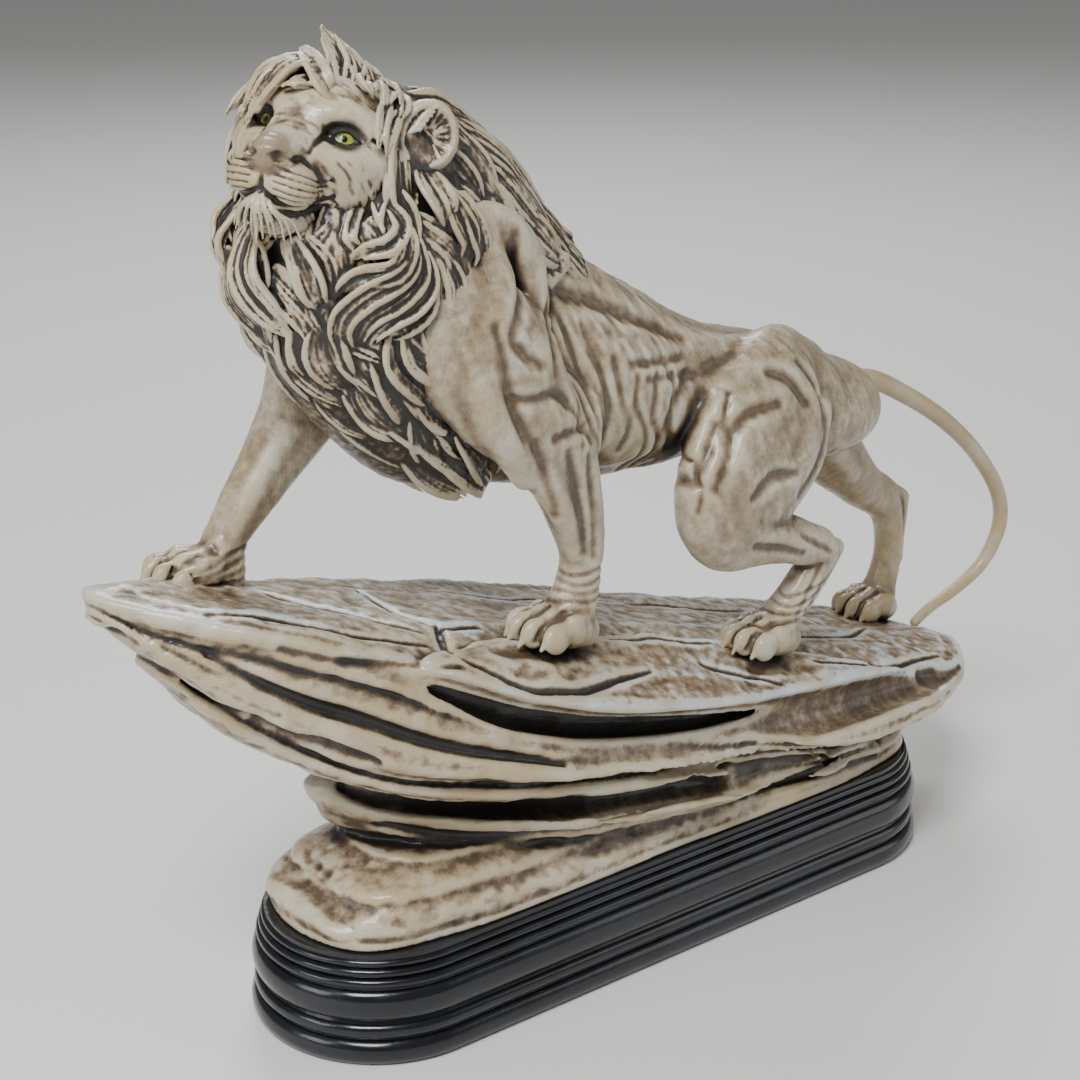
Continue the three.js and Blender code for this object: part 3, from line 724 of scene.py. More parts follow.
        furrows = [
            ([(-45, 252), (-21, 243), (-2, 234), (12, 227)], 1.4, 6),
            ([(-19, 225), (-3, 223), (10, 221)], 0.8, 3.5),
            ([(-13, 219), (2, 217), (16, 214)], 0.6, 3),
            ([(24, 207), (20, 201), (17, 193)], 1.3, 2.5),
            ([(43, 212), (50, 209), (58, 199)], 1.3, 4),
            ([(60, 212), (66, 204), (70, 194)], 1.3, 4),
            ([(16, 198), (8, 186), (2, 178), (-8, 176)], 1.5, 4.5),
            ([(11, 214), (2, 206), (-2, 194)], 1.6, 6),
        ]
        for points, radius, soft in furrows if side == NEAR else furrows[:1] + furrows[6:]:
            clay.stroke(drawn(points), radius * (1 if side == NEAR else 0.7), soft=soft)
        # ribs and the folds of hide behind the shoulder
        for k in range(7):
            x = -52 + 9.5 * k
            high = 250 - 6.2 * k
            clay.stroke(
                drawn([
                    (x - 4, high - 5 * math.sin(5 * k)), (x - 3 + 3 * math.sin(k), high - 14),
                    (x + 2, high - 27),
                    (x + 1 + 3 * math.sin(2 * k), high - 40 - 4 * math.cos(3 * k)),
                ]),
                (0.8 if k < 4 else 0.55) * (0.8 + 0.3 * math.sin(4 * k)), soft=2.8,
            )
    # folds of the near shoulder
    for points, radius, soft in [
        ([(-68, 275), (-69, 262), (-75, 253), (-80, 246), (-76, 241), (-70, 236)], 1.6, 4),
        ([(-52, 268), (-54, 252), (-60, 243), (-62, 233), (-58, 222)], 1.4, 4),
        ([(-46, 262), (-48, 248), (-52, 238), (-50, 226)], 0.9, 3.5),
        ([(-86, 250), (-84, 238), (-81, 225), (-76, 214)], 1.1, 4.5),
        ([(-81, 227), (-72, 226), (-63, 226), (-56, 220), (-49, 212)], 1.1, 3.3),
        ([(-64, 211), (-57, 212), (-50, 211), (-46, 206)], 0.9, 3.3),
        ([(-72, 211), (-67, 200), (-62, 188), (-56, 174)], 0.9, 3.5),
        ([(-58, 205), (-53, 192), (-48, 178), (-45, 166)], 0.9, 3.5),
        ([(-48, 202), (-46, 190), (-43, 176), (-41, 164)], 0.6, 3),
        ([(-40, 200), (-38, 188), (-36, 174)], 0.6, 3),
    ]:
        clay.stroke([(x, -38, z) for x, z in points], radius, soft=soft)
    # lines of the near thigh and hock
    for points, radius, soft in [
        ([(42, 202), (29, 201), (21, 196), (16, 188), (10, 178)], 1.3, 4.5),
        ([(70, 196), (74, 184), (66, 174), (54, 166)], 1.3, 4.5),
        ([(26, 172), (36, 177), (48, 176)], 1.6, 4),
        ([(30, 152), (44, 148), (58, 142)], 0.9, 3),
        ([(56, 150), (66, 144), (74, 139)], 0.8, 2),
        ([(70, 134), (64, 124), (58, 116)], 0.8, 2),
    ]:
        clay.stroke([(x, -42, z) for x, z in points], radius, soft=soft)
    paw(clay, -36, -31, 30, 25)
    paw(clay, -141, 30, 28, 25, -4.0)
    paw(clay, 62, -31, 30, 23)
    paw(clay, 181, 28, 28, 22, -0.5)
    # wrinkles above the paws
    for x, y, z, r in ((-44, -32, 152, 9), (-143, 31, 164, 9.5), (60, -31, 119, 8)):
        for k in range(4):
            turn = np.linspace(-1.9, 1.9, 9) - math.pi / 2 - 0.35
            ring = [(
                x + (r + 3) * math.cos(a), y + (r + 3) * math.sin(a),
                z + 3.2 * k - 4 + 1.2 * math.sin(2 * a + k),
            ) for a in turn]
            clay.stroke(ring, 0.7, soft=1.2, heart=(x, y, z + 3.2 * k - 4))

    def hide(x, y, z):
        """Short fur, in strokes that run down and back over the body."""
        across, down = x * 0.92 + z * 0.3, z * 0.9 - x * 0.35
        long = grain(across / 2.2, y / 3.5, down / 11, 21)
        broad = grain(x / 12, y / 12, z / 12, 22)
        ribs = ease(-75, -55, x) * ease(-30, -5, -x) * ease(195, 212, z)
        tail = 1 - ease(112, 122, x) * ease(-0.5, 0.5, 20 - y)
        return (0.15 + 0.26 * ribs) * tail * long + 0.3 * tail * broad

    clay.roughen(hide)
    return clay


# ---------------------------------------------------------------- lion's head, modelled facing -X round mid-eye

HEAD_CENTRE = np.array([-128.6, -12, 310.1])
HEAD_TURN = np.array(Euler([math.radians(a) for a in (10.2, 21.8, 33.5)], "XYZ").to_matrix())
EYE_FRONT = (-3.2, 13.2, -0.3)
EYE_RADIUS = 5.2


def eye_frame(side):
    """An eye's gaze, its outward and upward directions, and its centre."""
    gaze = unit((-0.86, side * 0.42, 0.12))
    out = unit(np.cross(gaze, (0, 0, 1)) * (1 if side > 0 else -1))
    out = unit(out * np.sign(out[1]) * side + np.array((0, 0, 0.12)))
    up = unit(np.array((0, 0, 1)) - gaze * gaze[2])
    centre = np.array(EYE_FRONT) * (1, side, 1) - gaze * EYE_RADIUS
    return gaze, out, up, centre


def head_clay(pitch):
    clay = Clay((-33, -44, -44), (44, 44, 34), pitch)
    clay.turn, clay.place = HEAD_TURN, HEAD_CENTRE
    clay.ball((15, 0, -2), (27, 25, 23), soft=2)
    clay.limb([(16, 0, 13, 17, 10), (5, 0, 9, 14, 9), (0, 0, 4, 10, 8)], soft=4)
    clay.limb([(4, 0, 0, 9.5, 7), (-7, 0, -4.5, 8, 6), (-16, 0, -8.3, 6.6, 5.2), (-21, 0, -11, 5.6, 4)], soft=4)
    clay.limb([(8, 0, -13, 16, 13), (-5, 0, -15, 13, 11), (-13, 0, -18, 10, 8.5)], soft=4)
    clay.limb([(8, 0, -24, 13, 8.5), (-6, 0, -26.5, 9.5, 7), (-13, 0, -27.5, 6.5, 5)], soft=3)
    clay.ball((-14.4, 0, -26.5), (4.8, 6, 4.4), soft=2.5)
    clay.ball((-3.5, 0, 5.8), (6.0, 5.4, 5.4), soft=2.0)
    clay.ball((-20.8, 0, -12.4), (4.4, 5.2, 3.5), soft=1.6)
    clay.ball((-22.4, 0, -10.9), (3.4, 4.6, 1.9), soft=1.4)
    for side in (NEAR, OFF):
        gaze, out, up, centre = eye_frame(side)
        clay.ball((-7.5, side * 15.8, 0), (7, 7.6, 5.8), soft=3.5, carve=True)
        clay.ball((7, side * 15, -10), (14, 9, 12), (0, 0, side * 12), soft=5)
        clay.ball((-13.6, side * 6.8, -18.6), (8.2, 7.4, 6.6), (0, 12, side * -8), soft=1.6)
        # brow over the eye, and the cheek bone under it
        clay.limb([
            (-6.5, side * 4.5, 3.8, 2.8, 3.2), (-4.4, side * 10.5, 6.4, 3.0, 3.2),
            (-0.6, side * 16.5, 6.6, 3.0, 3.2), (6, side * 21, 4.0, 2.6, 3.2),
        ], soft=3, across=(0, 0, 1))
        clay.limb(
            [
                (-9, side * 8, -8, 3, 3), (-3.5, side * 15, -7.5, 3.6, 3.4), (5, side * 21, -5, 4, 4),
                (13, side * 24, -1, 4, 4),
            ],
            soft=4, across=(0, 0, 1),
        )
        # lids and eyeball
        clay.ball(centre, (6.0, 6.3, 5.9), soft=1.2)
        cut = clay.window(centre - 9, centre + 9)
        offset = [axis - value for axis, value in zip(clay.points(cut), centre)]
        wide, high, ahead = (sum(way[k] * offset[k] for k in range(3)) for way in (out, up, gaze))
        shape = 1 - (wide / 5.4) ** 2
        opening = np.maximum(np.maximum(high - 2.25 * shape, -high - 2.0 * shape), 0.5 - ahead)
        clay.blend(cut, opening.astype(np.float32), soft=0.5, carve=True)
        clay.ball(centre, (EYE_RADIUS,) * 3, soft=0.0)
        for radius, bulge in ((0.85, 2.75), (0.75, -2.45)):
            arc = []
            for t in np.linspace(-1, 1, 9):
                aim = gaze * 5.0 + out * 5.3 * t + up * bulge * (1 - t * t)
                arc.append((*(centre + unit(aim) * 5.65), radius))
            clay.cord(arc, soft=0.7, spacing=1.0)
        # the tear line runs from the eye down beside the nose
        clay.stroke(
            [(-5, side * 8, -2), (-8.5, side * 7.4, -5), (-11.5, side * 7.8, -8)], 0.35, soft=1.6,
            heart=(5, 0, -10),
        )
        clay.stroke(
            [(1.5, side * 18.5, 1.6), (5, side * 20.5, 2.2), (8, side * 22, 1.2)], 0.5, soft=1.4,
            heart=(12, 0, 0),
        )
        # nose wing and nostril
        clay.ball((-20.2, side * 4.6, -12.6), (3.4, 2.6, 2.9), soft=1.4)
        clay.cord([
            (-25.0, side * 2.4, -12.9, 0.9), (-23.7, side * 4.6, -12.4, 1.7), (-21.6, side * 6.7, -11.6, 1.2),
            (-19, side * 7.9, -11.2, 0.6),
        ], soft=0.5, carve=True, spacing=1)
        clay.stroke(
            [(-20, side * 6.8, -12), (-16, side * 7.8, -10.5), (-12, side * 8.6, -11.5)], 0.4, soft=1.4,
            heart=(0, 0, -10),
        )
        # mouth line under the whisker pad
        clay.stroke([
            (-20.5, side * 0.4, -21.6), (-19, side * 4, -24), (-15.5, side * 8, -24.6), (-11, side * 11.5, -23),
            (-7, side * 14, -20.2), (-4, side * 15.2, -17.8),
        ], 1.05, soft=0.7, heart=(2, 0, -18), sink=0.3, blunt=0.4)
        clay.stroke(
            [(-18, side * 4, -27), (-12, side * 9.5, -26.8), (-6, side * 13, -23.5)], 0.8, soft=1.6,
            heart=(2, 0, -20),
        )
        # rows of whisker roots
        for row in range(5):
            high = -14.6 - 2.0 * row
            line = [
                (-22 + 1.2 * row * 0.5, side * (3.2 + 0.3 * row), high - 0.6), (-18.5, side * 9.5, high - 0.9),
                (-12, side * 14, high - 0.4 + 0.3 * row), (-7, side * 16, high + 1.6),
            ]
            clay.stroke(line, 0.55, soft=0.3, heart=(-8, 0, -18), sink=0.1, blunt=0.5)
        # fur of the cheeks, brow and jaw, in short strokes
        chance = np.random.default_rng(7)
        for _ in range(150):
            x, high = chance.uniform(-6, 24), chance.uniform(-30, -9)
            if x < 0 and high > -19:
                continue
            length = chance.uniform(3, 5.5)
            fall = 0.55 + 0.5 * (x + 8) / 30
            line = [
                (x, side * 22, high), (x + length * 0.55, side * 22, high - length * 0.45 * fall),
                (x + length * 0.8, side * 21, high - length * fall),
            ]
            clay.stroke(line, chance.uniform(0.2, 0.3), soft=0.5, heart=(x + 2, 0, high + 3))
        # ear: a cupped shell with a thick rolled rim
        ear = np.array((19.4, side * 28.2, 9.4 if side < 0 else 5.4))
        face = unit((-0.72, side * 0.62, 0.05))
        clay.ball(ear, (5.4, 10.2, 11.2), (0, 0, side * -40), soft=3)
        clay.ball(ear + face * 4.6, (4.6, 8.2, 9.2), (0, 0, side * -40), soft=0.8, carve=True)
        clay.ball(
            ear + face * 2.0 + np.array((-1.5, side * -1.0, -2.6)), (4.6, 4.0, 4.4), (0, 0, side * -40),
            soft=1.5, carve=True,
        )
        spin = np.array(Euler((0, 0, math.radians(side * -40))).to_matrix())
        for k in range(36):
            turn = math.radians(10 * k + 9 * math.sin(5 * k))
            reach = 1 + 0.16 * math.sin(7 * k)
            hair = []
            for deep in (0.3 * reach, 0.6 * reach, 0.92 * reach):
                spot = (
                    math.cos(deep) * 4.6, math.sin(deep) * math.cos(turn) * 8.2,
                    math.sin(deep) * math.sin(turn) * 9.2,
                )
                hair.append((*(ear + face * 4.6 + spin @ np.array(spot)), 0.42 - 0.14 * deep))
            clay.cord(hair, soft=0.3, spacing=1.2)
        for k in range(6):
            root = ear + np.array((-4.6 + 0.4 * k, side * (-6.4 + 0.5 * k), -3.5 + 1.6 * k))
            clay.cord(
                [
                    (*root, 0.9), (*(root + np.array((-0.6, side * 2.8, 2.6))), 0.8),
                    (*(root + np.array((0.4, side * 6, 4.6))), 0.35),
                ],
                soft=0.3, spacing=1.2,
            )
    # groove from the nose down to the mouth
    clay.cord(
        [(-25.2, 0, -13.6, 0.6), (-23.8, 0, -16.5, 0.8), (-21, 0, -20, 0.95), (-20, 0, -22.4, 1.1)], soft=0.6,
        carve=True, spacing=1,
    )
    # chin tuft: strands fanning down over the beard
    tuft = np.random.default_rng(11)
    for k in range(15):
        turn = (k - 7) / 7
        slant = turn + tuft.uniform(-0.08, 0.08)
        proud = 0.7 * (k % 2)
        clay.cord([
            (-19.3 + 1.4 * turn * turn, 2.8 * slant, -24.0, 0.45),
            (-19.8 - proud + 2.6 * turn * turn, 5.6 * slant, -26.8 - tuft.uniform(0, 0.8), 0.55),
            (-17.9 - proud + 4.8 * turn * turn, 8.8 * slant, -30.4 + 2.0 * turn * turn, 0.56),
            (-14.8 + 6 * turn * turn, 10.8 * slant, -34.5 + 4 * turn * turn - tuft.uniform(0, 3), 0.3),
        ], soft=0.15, spacing=1.4)

    def pelt(x, y, z):
        """Fine hair over the face, finest on the nose."""
        still = ease(-19, -12, x)
        eyes = 1.0
        for side in (NEAR, OFF):
            centre = eye_frame(side)[3]
            eyes = eyes * ease(
                5.2, 7.0, np.sqrt((x - centre[0]) ** 2 + (y - centre[1]) ** 2 + (z - centre[2]) ** 2),
            )
        along, across = 0.75 * x - 0.65 * z, 0.65 * x + 0.75 * z
        cheek = ease(-4, -9, z) * ease(-12, -4, x)
        fur = (0.13 + 0.22 * cheek) * grain(along / 3.6, y / 3, across / 0.95, 31)
        return eyes * still * (fur + 0.16 * grain(x / 4, y / 4, z / 4, 32))

    clay.roughen(pelt)
    return clay


# ---------------------------------------------------------------- mane

MANE_AXIS_Y = -3.0
MANE_SECTIONS = np.array([
    (190, -72, 8, 8), (201, -79, 17, 17), (214, -88, 24, 26), (229, -96, 29, 32), (244, -101, 32, 38),
    (262, -104, 33, 43), (279, -105, 33, 43), (291, -103, 30, 34), (299, -102, 20, 20), (312, -100, 8, 12),
], float)


def mane_section(z):
    """Fore-and-aft centre, half width and half depth of the mane at a height."""
    return [np.interp(z, MANE_SECTIONS[:, 0], MANE_SECTIONS[:, k]) for k in (1, 2, 3)]


def on_mane(turn, z, lift=0.0):
    """A point of the mane's skin: turn is 0 at the chest and 90 on the lion's left."""
    centre, wide, deep = mane_section(z)
    angle = math.radians(turn)
    return (centre - math.cos(angle) * (deep + lift), MANE_AXIS_Y - math.sin(angle) * (wide + lift), z)


def off_mane(points):
    centre, wide, deep = mane_section(points[:, 2])
    return np.column_stack([
        (points[:, 0] - centre) / deep**2, (points[:, 1] - MANE_AXIS_Y) / wide**2, 0 * centre + 0.002,
    ])


NAPE = np.array([
    (-106, -7, 309, 15, 11), (-94, -5, 303, 20, 16), (-74, -3, 285, 23, 21), (-54, -2, 265, 21, 18),
    (-38, -1, 251, 18.5, 15.5),
    (-22, 0, 239, 15, 13),
], float)


def on_nape(share, roll, lift):
    """A point of the nape's skin: share runs from crown to withers, roll is 0 on top and 90 on the right."""
    knots = np.linspace(0, 1, len(NAPE))
    x, y, z, wide, deep = (np.interp(share, knots, NAPE[:, k]) for k in range(5))
    angle = math.radians(roll)
    rise = math.cos(angle) * (deep + lift)
    return (x + 0.66 * rise, y + math.sin(angle) * (wide + lift), z + 0.75 * rise)


def off_nape(points):
    x = np.clip(
        points[:, 0] - 0.5 * (points[:, 2] - np.interp(points[:, 0], NAPE[:, 0], NAPE[:, 2])), -106, -22,
    )
    centre = np.column_stack([np.interp(x, NAPE[:, 0], NAPE[:, k]) for k in range(3)])
    return points - centre


def off_head(points):
    return points - (HEAD_CENTRE + HEAD_TURN @ np.array((14, 0, -4)))


def from_head(*point):
    return HEAD_CENTRE + HEAD_TURN @ np.array(point, float)


def mane_clay(pitch):
    clay = Clay((-156, -50, 179), (-26, 44, 342), pitch)
    mass = [(x, MANE_AXIS_Y, z, wide - 3, deep - 3) for z, x, wide, deep in MANE_SECTIONS[:-1] if wide > 10]
    clay.limb(mass, soft=1, spacing=4)
    clay.limb([(x, y, z, wide - 2, deep - 2) for x, y, z, wide, deep in NAPE[1:]], soft=3)
    clay.ball(from_head(22, 0, 0), (17, 21, 19), soft=3)

    # wavy under-layers all round, from the lowest tips up
    chance = np.random.default_rng(5)
    for row, (high, drop, count, width, lift) in enumerate([
        (212, 24, 11, 9, 0.5), (226, 27, 13, 10, 1.0), (241, 30, 14, 10.5, 1.2), (256, 31, 18, 11, 1.4),
        (271, 31, 19, 11, 1.4),
        (285, 30, 19, 11, 1.2), (296, 27, 17, 10, 0.6),
    ]):
        first = -118 if high < 250 else -176
        for k in range(count):
            turn = first + (132 - first) * (k + 0.5 * (row % 2)) / (count - 0.5) + chance.uniform(-4, 4)
            sway = chance.choice((-1, 1)) * chance.uniform(5, 11)
            lean = 7 + 5 * math.sin(math.radians(turn))
            path = []
            for t in np.linspace(0, 1, 6):
                z = high - drop * t * chance.uniform(0.97, 1.03)
                path.append(on_mane(
                    turn + lean * t + sway * math.sin(math.pi * (1.25 * t - 0.1)), max(z, 188),
                    -1.2 + lift + 1.8 * t,
                ))
            lock(
                clay, path, off_mane, width * chance.uniform(0.85, 1.2), 1.05, cup=chance.uniform(-1.0, 1.0),
                lift=1.0, seed=100 * row + k,
            )

    # nape locks, flowing from the crown down over the withers on both sides
    for row in range(5):
        for k in range(9):
            roll = -104 + 26 * (k + 0.5 * (row % 2)) * 0.94
            start = 0.02 + 0.16 * row
            reach = 0.34 if abs(roll) < 60 else 0.24
            path = []
            for t in np.linspace(0, 1, 5):
                bend = 5 * math.sin(2.2 * t + 1.7 * k + row)
                share = min(start + reach * t, 1.02 - 0.35 * ease(35, 100, abs(roll)))
                path.append(on_nape(share, roll * (1 + 0.12 * t) + bend, -0.8 + 2.4 * t))
            lock(
                clay, path, off_nape, 9.5 + 2 * (k % 2), 1.1, cup=1.0 - 0.9 * (k % 3), lift=1.0,
                seed=900 + 10 * row + k,
            )

    # ruff framing the face, from ear to ear under the jaw
    for layer, (reach, length) in enumerate(((22.5, 17), (25, 22))):
        for k in range(13):
            angle = math.radians(-8 - 164 * (k + 0.5 * layer) / 12.5)
            across, high = math.cos(angle), math.sin(angle)
            low = 0.5 + 0.5 * (-high)
            start = from_head(9 + 5 * layer, across * reach * 1.02, high * reach * 0.98 - 3)
            bend = from_head(11 + 6 * layer, across * (reach + 6), high * (reach + 7) - 4)
            away = from_head(16 + 6 * layer, across * (reach + 5), high * (reach + 11) - 5)
            stop = away + np.array((4.0, -3 * across, -length * (0.45 + 0.5 * low)))
            lock(clay, [start, bend, away, stop], off_head, 8.5, 0.95, cup=0.7, seed=300 + 20 * layer + k)

    # single locks of the near side, the chest and the far shoulder: turn and height along each, width
    # and how far it stands off
    for seed, (steps, width, lift) in enumerate([
        ([(72, 289), (77, 284), (73, 279), (63, 277), (56, 273)], 5, 3.5),
        ([(75, 286), (80, 279), (74, 271), (60, 270), (53, 266), (51, 259)], 6, 4),
        ([(80, 282), (81, 273), (76, 269), (62, 264), (52, 258), (48, 252), (49, 245), (52, 239)], 6.5, 4.6),
        ([(84, 279), (84, 269), (76, 263), (62, 257), (56, 251), (52, 244)], 6, 4.2),
        ([(87, 275), (88, 266), (81, 260), (70, 256), (60, 250), (57, 243)], 6, 3.8),
        ([(90, 272), (86, 258), (73, 252), (66, 250)], 5, 3),
        ([(32, 281), (39, 272), (42, 264), (44, 258)], 8, 3.5),
        ([(10, 283), (11, 272), (13, 266), (20, 257), (25, 250)], 10, 5),
        ([(-2, 276), (-3, 263), (1, 255), (9, 247)], 9, 4),
        ([(-33, 289), (-30, 280), (-23, 272), (-22, 263)], 12, 3.5),
        ([(-14, 288), (-14, 276), (-9, 266)], 9, 4),
        ([(-20, 252), (-20, 246), (-16, 239), (-15, 232)], 11, 3),
        ([(12, 251), (4, 240), (2, 229), (6, 219), (12, 212)], 10, 3.5),
        ([(27, 252), (25, 241), (22, 233)], 9, 3),
        ([(41, 254), (39, 243), (38, 230)], 13, 3.5),
        ([(23, 234), (26, 218), (34, 208), (44, 202), (48, 196)], 10, 3),
        ([(37, 231), (42, 222), (50, 217), (48, 209)], 8, 3),
        ([(60, 244), (62, 233), (63, 223), (57, 215)], 9, 2.6),
        ([(70, 250), (69, 241), (75, 233), (82, 224)], 9, 3),
        ([(78, 254), (78, 244), (87, 236), (95, 232)], 9, 2.6),
        ([(73, 231), (78, 220), (84, 216), (70, 209)], 7, 2.6),
        ([(66, 221), (58, 208), (44, 196)], 8, 2.4),
        ([(91, 230), (94, 220), (100, 212), (110, 205)], 8, 2.4),
        ([(77, 207), (88, 199), (104, 193), (98, 187)], 8, 2),
        ([(99, 212), (112, 203), (122, 197)], 8, 2),
        ([(96, 226), (108, 218), (116, 208), (128, 203)], 8, 2.4),
        ([(60, 214), (70, 203), (90, 196), (112, 191)], 8, 3),
        ([(20, 214), (24, 203), (30, 194), (46, 187)], 10, 4.5),
        ([(2, 218), (4, 207), (8, 198), (20, 191)], 10, 4.5),
        ([(-24, 216), (-20, 206), (-10, 198), (2, 192)], 10, 4.5),
        ([(120, 206), (134, 200), (146, 193), (158, 188)], 9, 4),
        ([(88, 214), (94, 203), (108, 192), (126, 184)], 10, 5),
        ([(40, 206), (46, 197), (60, 189), (84, 183.5)], 10, 6),
        ([(-30, 204), (-26, 196), (-10, 190), (14, 186)], 9, 6),
        ([(66, 203), (80, 195), (100, 188), (118, 183.5)], 9, 6.5),
        ([(95, 298), (94, 296), (97, 288), (102, 280)], 9, 4.5),
        ([(104, 292), (106, 284), (110, 275), (104, 266)], 8, 3),
        ([(112, 290), (114, 280), (118, 270), (112, 262)], 8, 3),
        ([(98, 272), (101, 262), (98, 252), (92, 244)], 7, 2.4),
        ([(-58, 222), (-56, 210), (-48, 200), (-36, 192)], 11, 4),
        ([(-82, 226), (-80, 214), (-72, 203), (-58, 195)], 11, 4),
        ([(-104, 232), (-104, 220), (-98, 210), (-88, 202)], 10, 3.5),
        ([(-40, 212), (-34, 201), (-24, 192)], 10, 5),
        ([(-110, 270), (-113, 259), (-110, 249), (-106, 241)], 10, 2),
        ([(-120, 274), (-124, 262), (-121, 251)], 10, 2),
    ]):
        path = []
        for t, (turn, z) in zip(np.linspace(0, 1, len(steps)), steps):
            path.append(on_mane(turn, z, lift * (0.35 + 0.65 * math.sin(math.pi * min(1, 0.2 + 0.75 * t)))))
        lock(clay, path, off_mane, width, 1.15, cup=1.0, lift=0.8, seed=seed)

    # plainer locks over the far side of the skull
    for row, k in itertools.product(range(3), range(7)):
        roll = -18 + 22 * (k + 0.5 * (row % 2))
        start = (0.1 if roll < 45 else 0.34) + 0.2 * row
        path = []
        for t in np.linspace(-0.15, 1, 6):
            around = math.radians(roll * (1 + 0.1 * t) + 6 * math.sin(2.4 * t + 1.9 * k + row))
            back = 27 * min(start + 0.42 * t, 0.93) - 1
            full = math.sqrt(1 - (back / 27) ** 2)
            lift = -4 if t < 0 else 1.6 * math.sin(math.pi * min(1, 0.1 + 0.8 * t))
            path.append(from_head(
                15 + back, math.sin(around) * (25 * full + lift),
                -2 + math.cos(around) * (23 * full + lift) - 3 * t * t,
            ))
        lock(clay, path, off_head, 10, 1.05, cup=0.8 - 0.7 * (k % 2), seed=700 + 10 * row + k)

    # crown: the leaning spike, the small tuft, forelocks and curls, in the head's own places, and width
    for seed, (steps, width) in enumerate([
        ([(2, -5, 14), (3, -2, 22), (3, 5, 28.4), (1.5, 8, 32.2)], 8),
        ([(5, -9, 14), (7, -6, 22), (7, 1, 28), (5, 5, 31)], 9),
        ([(8, -12, 15), (11, -10, 21), (13, -6, 25), (12, -2, 27)], 8),
        ([(-6, -5, 12), (-6, 1, 18), (-1, 8, 22), (2, 12, 24)], 6),
        ([(3, 2, 16), (-3, 6, 19), (-8, 9, 16), (-10, 12, 9), (-10, 15, 0), (-8, 16, -7)], 8),
        ([(5, 8, 18), (-2, 13, 18), (-7, 16, 12), (-8, 18, 4), (-6, 20, -4)], 8),
        ([(9, 13, 18), (3, 19, 15), (-2, 22, 8), (-4, 24, 0)], 8),
        ([(12, 18, 15), (7, 24, 10), (1, 27, 3), (-3, 27, -4)], 9),
        ([(1, -2, 14), (-6, 1, 13), (-11, 4, 11), (-12, 8, 8)], 6),
        ([(4, -12, 16), (0, -13, 17.5), (-2, -16, 16), (0, -18, 13)], 6),
        ([(10, -15, 18), (6, -18, 18), (3, -20, 15), (4, -21, 12)], 6),
        ([(15, -16, 19), (12, -20, 18), (9, -23, 14), (8, -23, 10)], 6),
        ([(12, -19, 14), (5, -23, 9), (2, -25, 3), (2, -26, -4)], 5),
        ([(8, -19, 14), (1, -21, 9), (-1, -23, 3), (-1, -24.5, -2)], 4),
        ([(13, -22, 6), (8, -26, 0), (9, -29, -9), (14, -32, -19), (18, -33, -28)], 9),
        ([(10, -24, -2), (8, -27, -10), (13, -30, -18), (14, -29, -27)], 7),
        ([(24, -18, 18), (28, -24, 14), (31, -30, 6), (32, -32, -4), (30, -33, -13)], 9),
        ([(28, -12, 18), (34, -18, 14), (38, -24, 6), (40, -27, -4)], 10),
        ([(18, -6, 22), (26, -8, 22), (34, -12, 17), (40, -16, 8)], 10),
        ([(18, 4, 22), (26, 6, 21), (34, 8, 16), (41, 8, 8)], 10),
        ([(22, 14, 19), (28, 20, 15), (33, 25, 7), (35, 27, -3)], 10),
        ([(16, 22, 14), (20, 29, 8), (23, 32, -2), (24, 32, -12)], 9),
        ([(12, 25, 4), (13, 29, -4), (15, 30, -13), (17, 29, -22)], 9),
        ([(14, -4, 20), (18, -10, 21.5), (24, -16, 19), (28, -22, 14)], 8),
        ([(24, 18, 16), (27, 24, 12), (29, 28, 4), (30, 29, -6), (29, 30, -16)], 9),
        ([(29, 14, 14), (33, 20, 8), (35, 24, 0), (35, 25, -10), (34, 26, -20)], 10),
        ([(26, 22, 0), (28, 26, -6), (29, 27, -14), (30, 28, -24)], 9),
        ([(33, 18, 0), (36, 20, -8), (37, 22, -17), (38, 24, -26)], 9),
        ([(22, 24, -6), (24, 27, -12), (24, 28, -20), (25, 28, -28)], 8),
    ]):
        root = (20, 0.6 * steps[0][1], 7)
        lock(
            clay, [from_head(*step) for step in (root, *steps)], off_head, width, 1.05, cup=0.9,
            seed=500 + seed,
        )

    def strands_relief(x, y, z):
        return 0.12 * grain(x / 1.2, y / 1.2, z / 3.5, 41)

    clay.roughen(strands_relief)
    return clay


# ---------------------------------------------------------------- from clay to mesh


def largest_shell(points, quads):
    """The biggest connected surface among the quads, with its points numbered afresh."""
    label = np.arange(len(points))
    while True:
        low = label[quads].min(axis=1)
        fresh = label.copy()
        for corner in quads.T:
            np.minimum.at(fresh, corner, low)
        fresh = fresh[fresh]
        if np.array_equal(fresh, label):
            break
        label = fresh
    names, sizes = np.unique(label, return_counts=True)
    keep = label == names[np.argmax(sizes)]
    number = np.cumsum(keep) - 1
    return points[keep], number[quads[keep[quads[:, 0]]]]


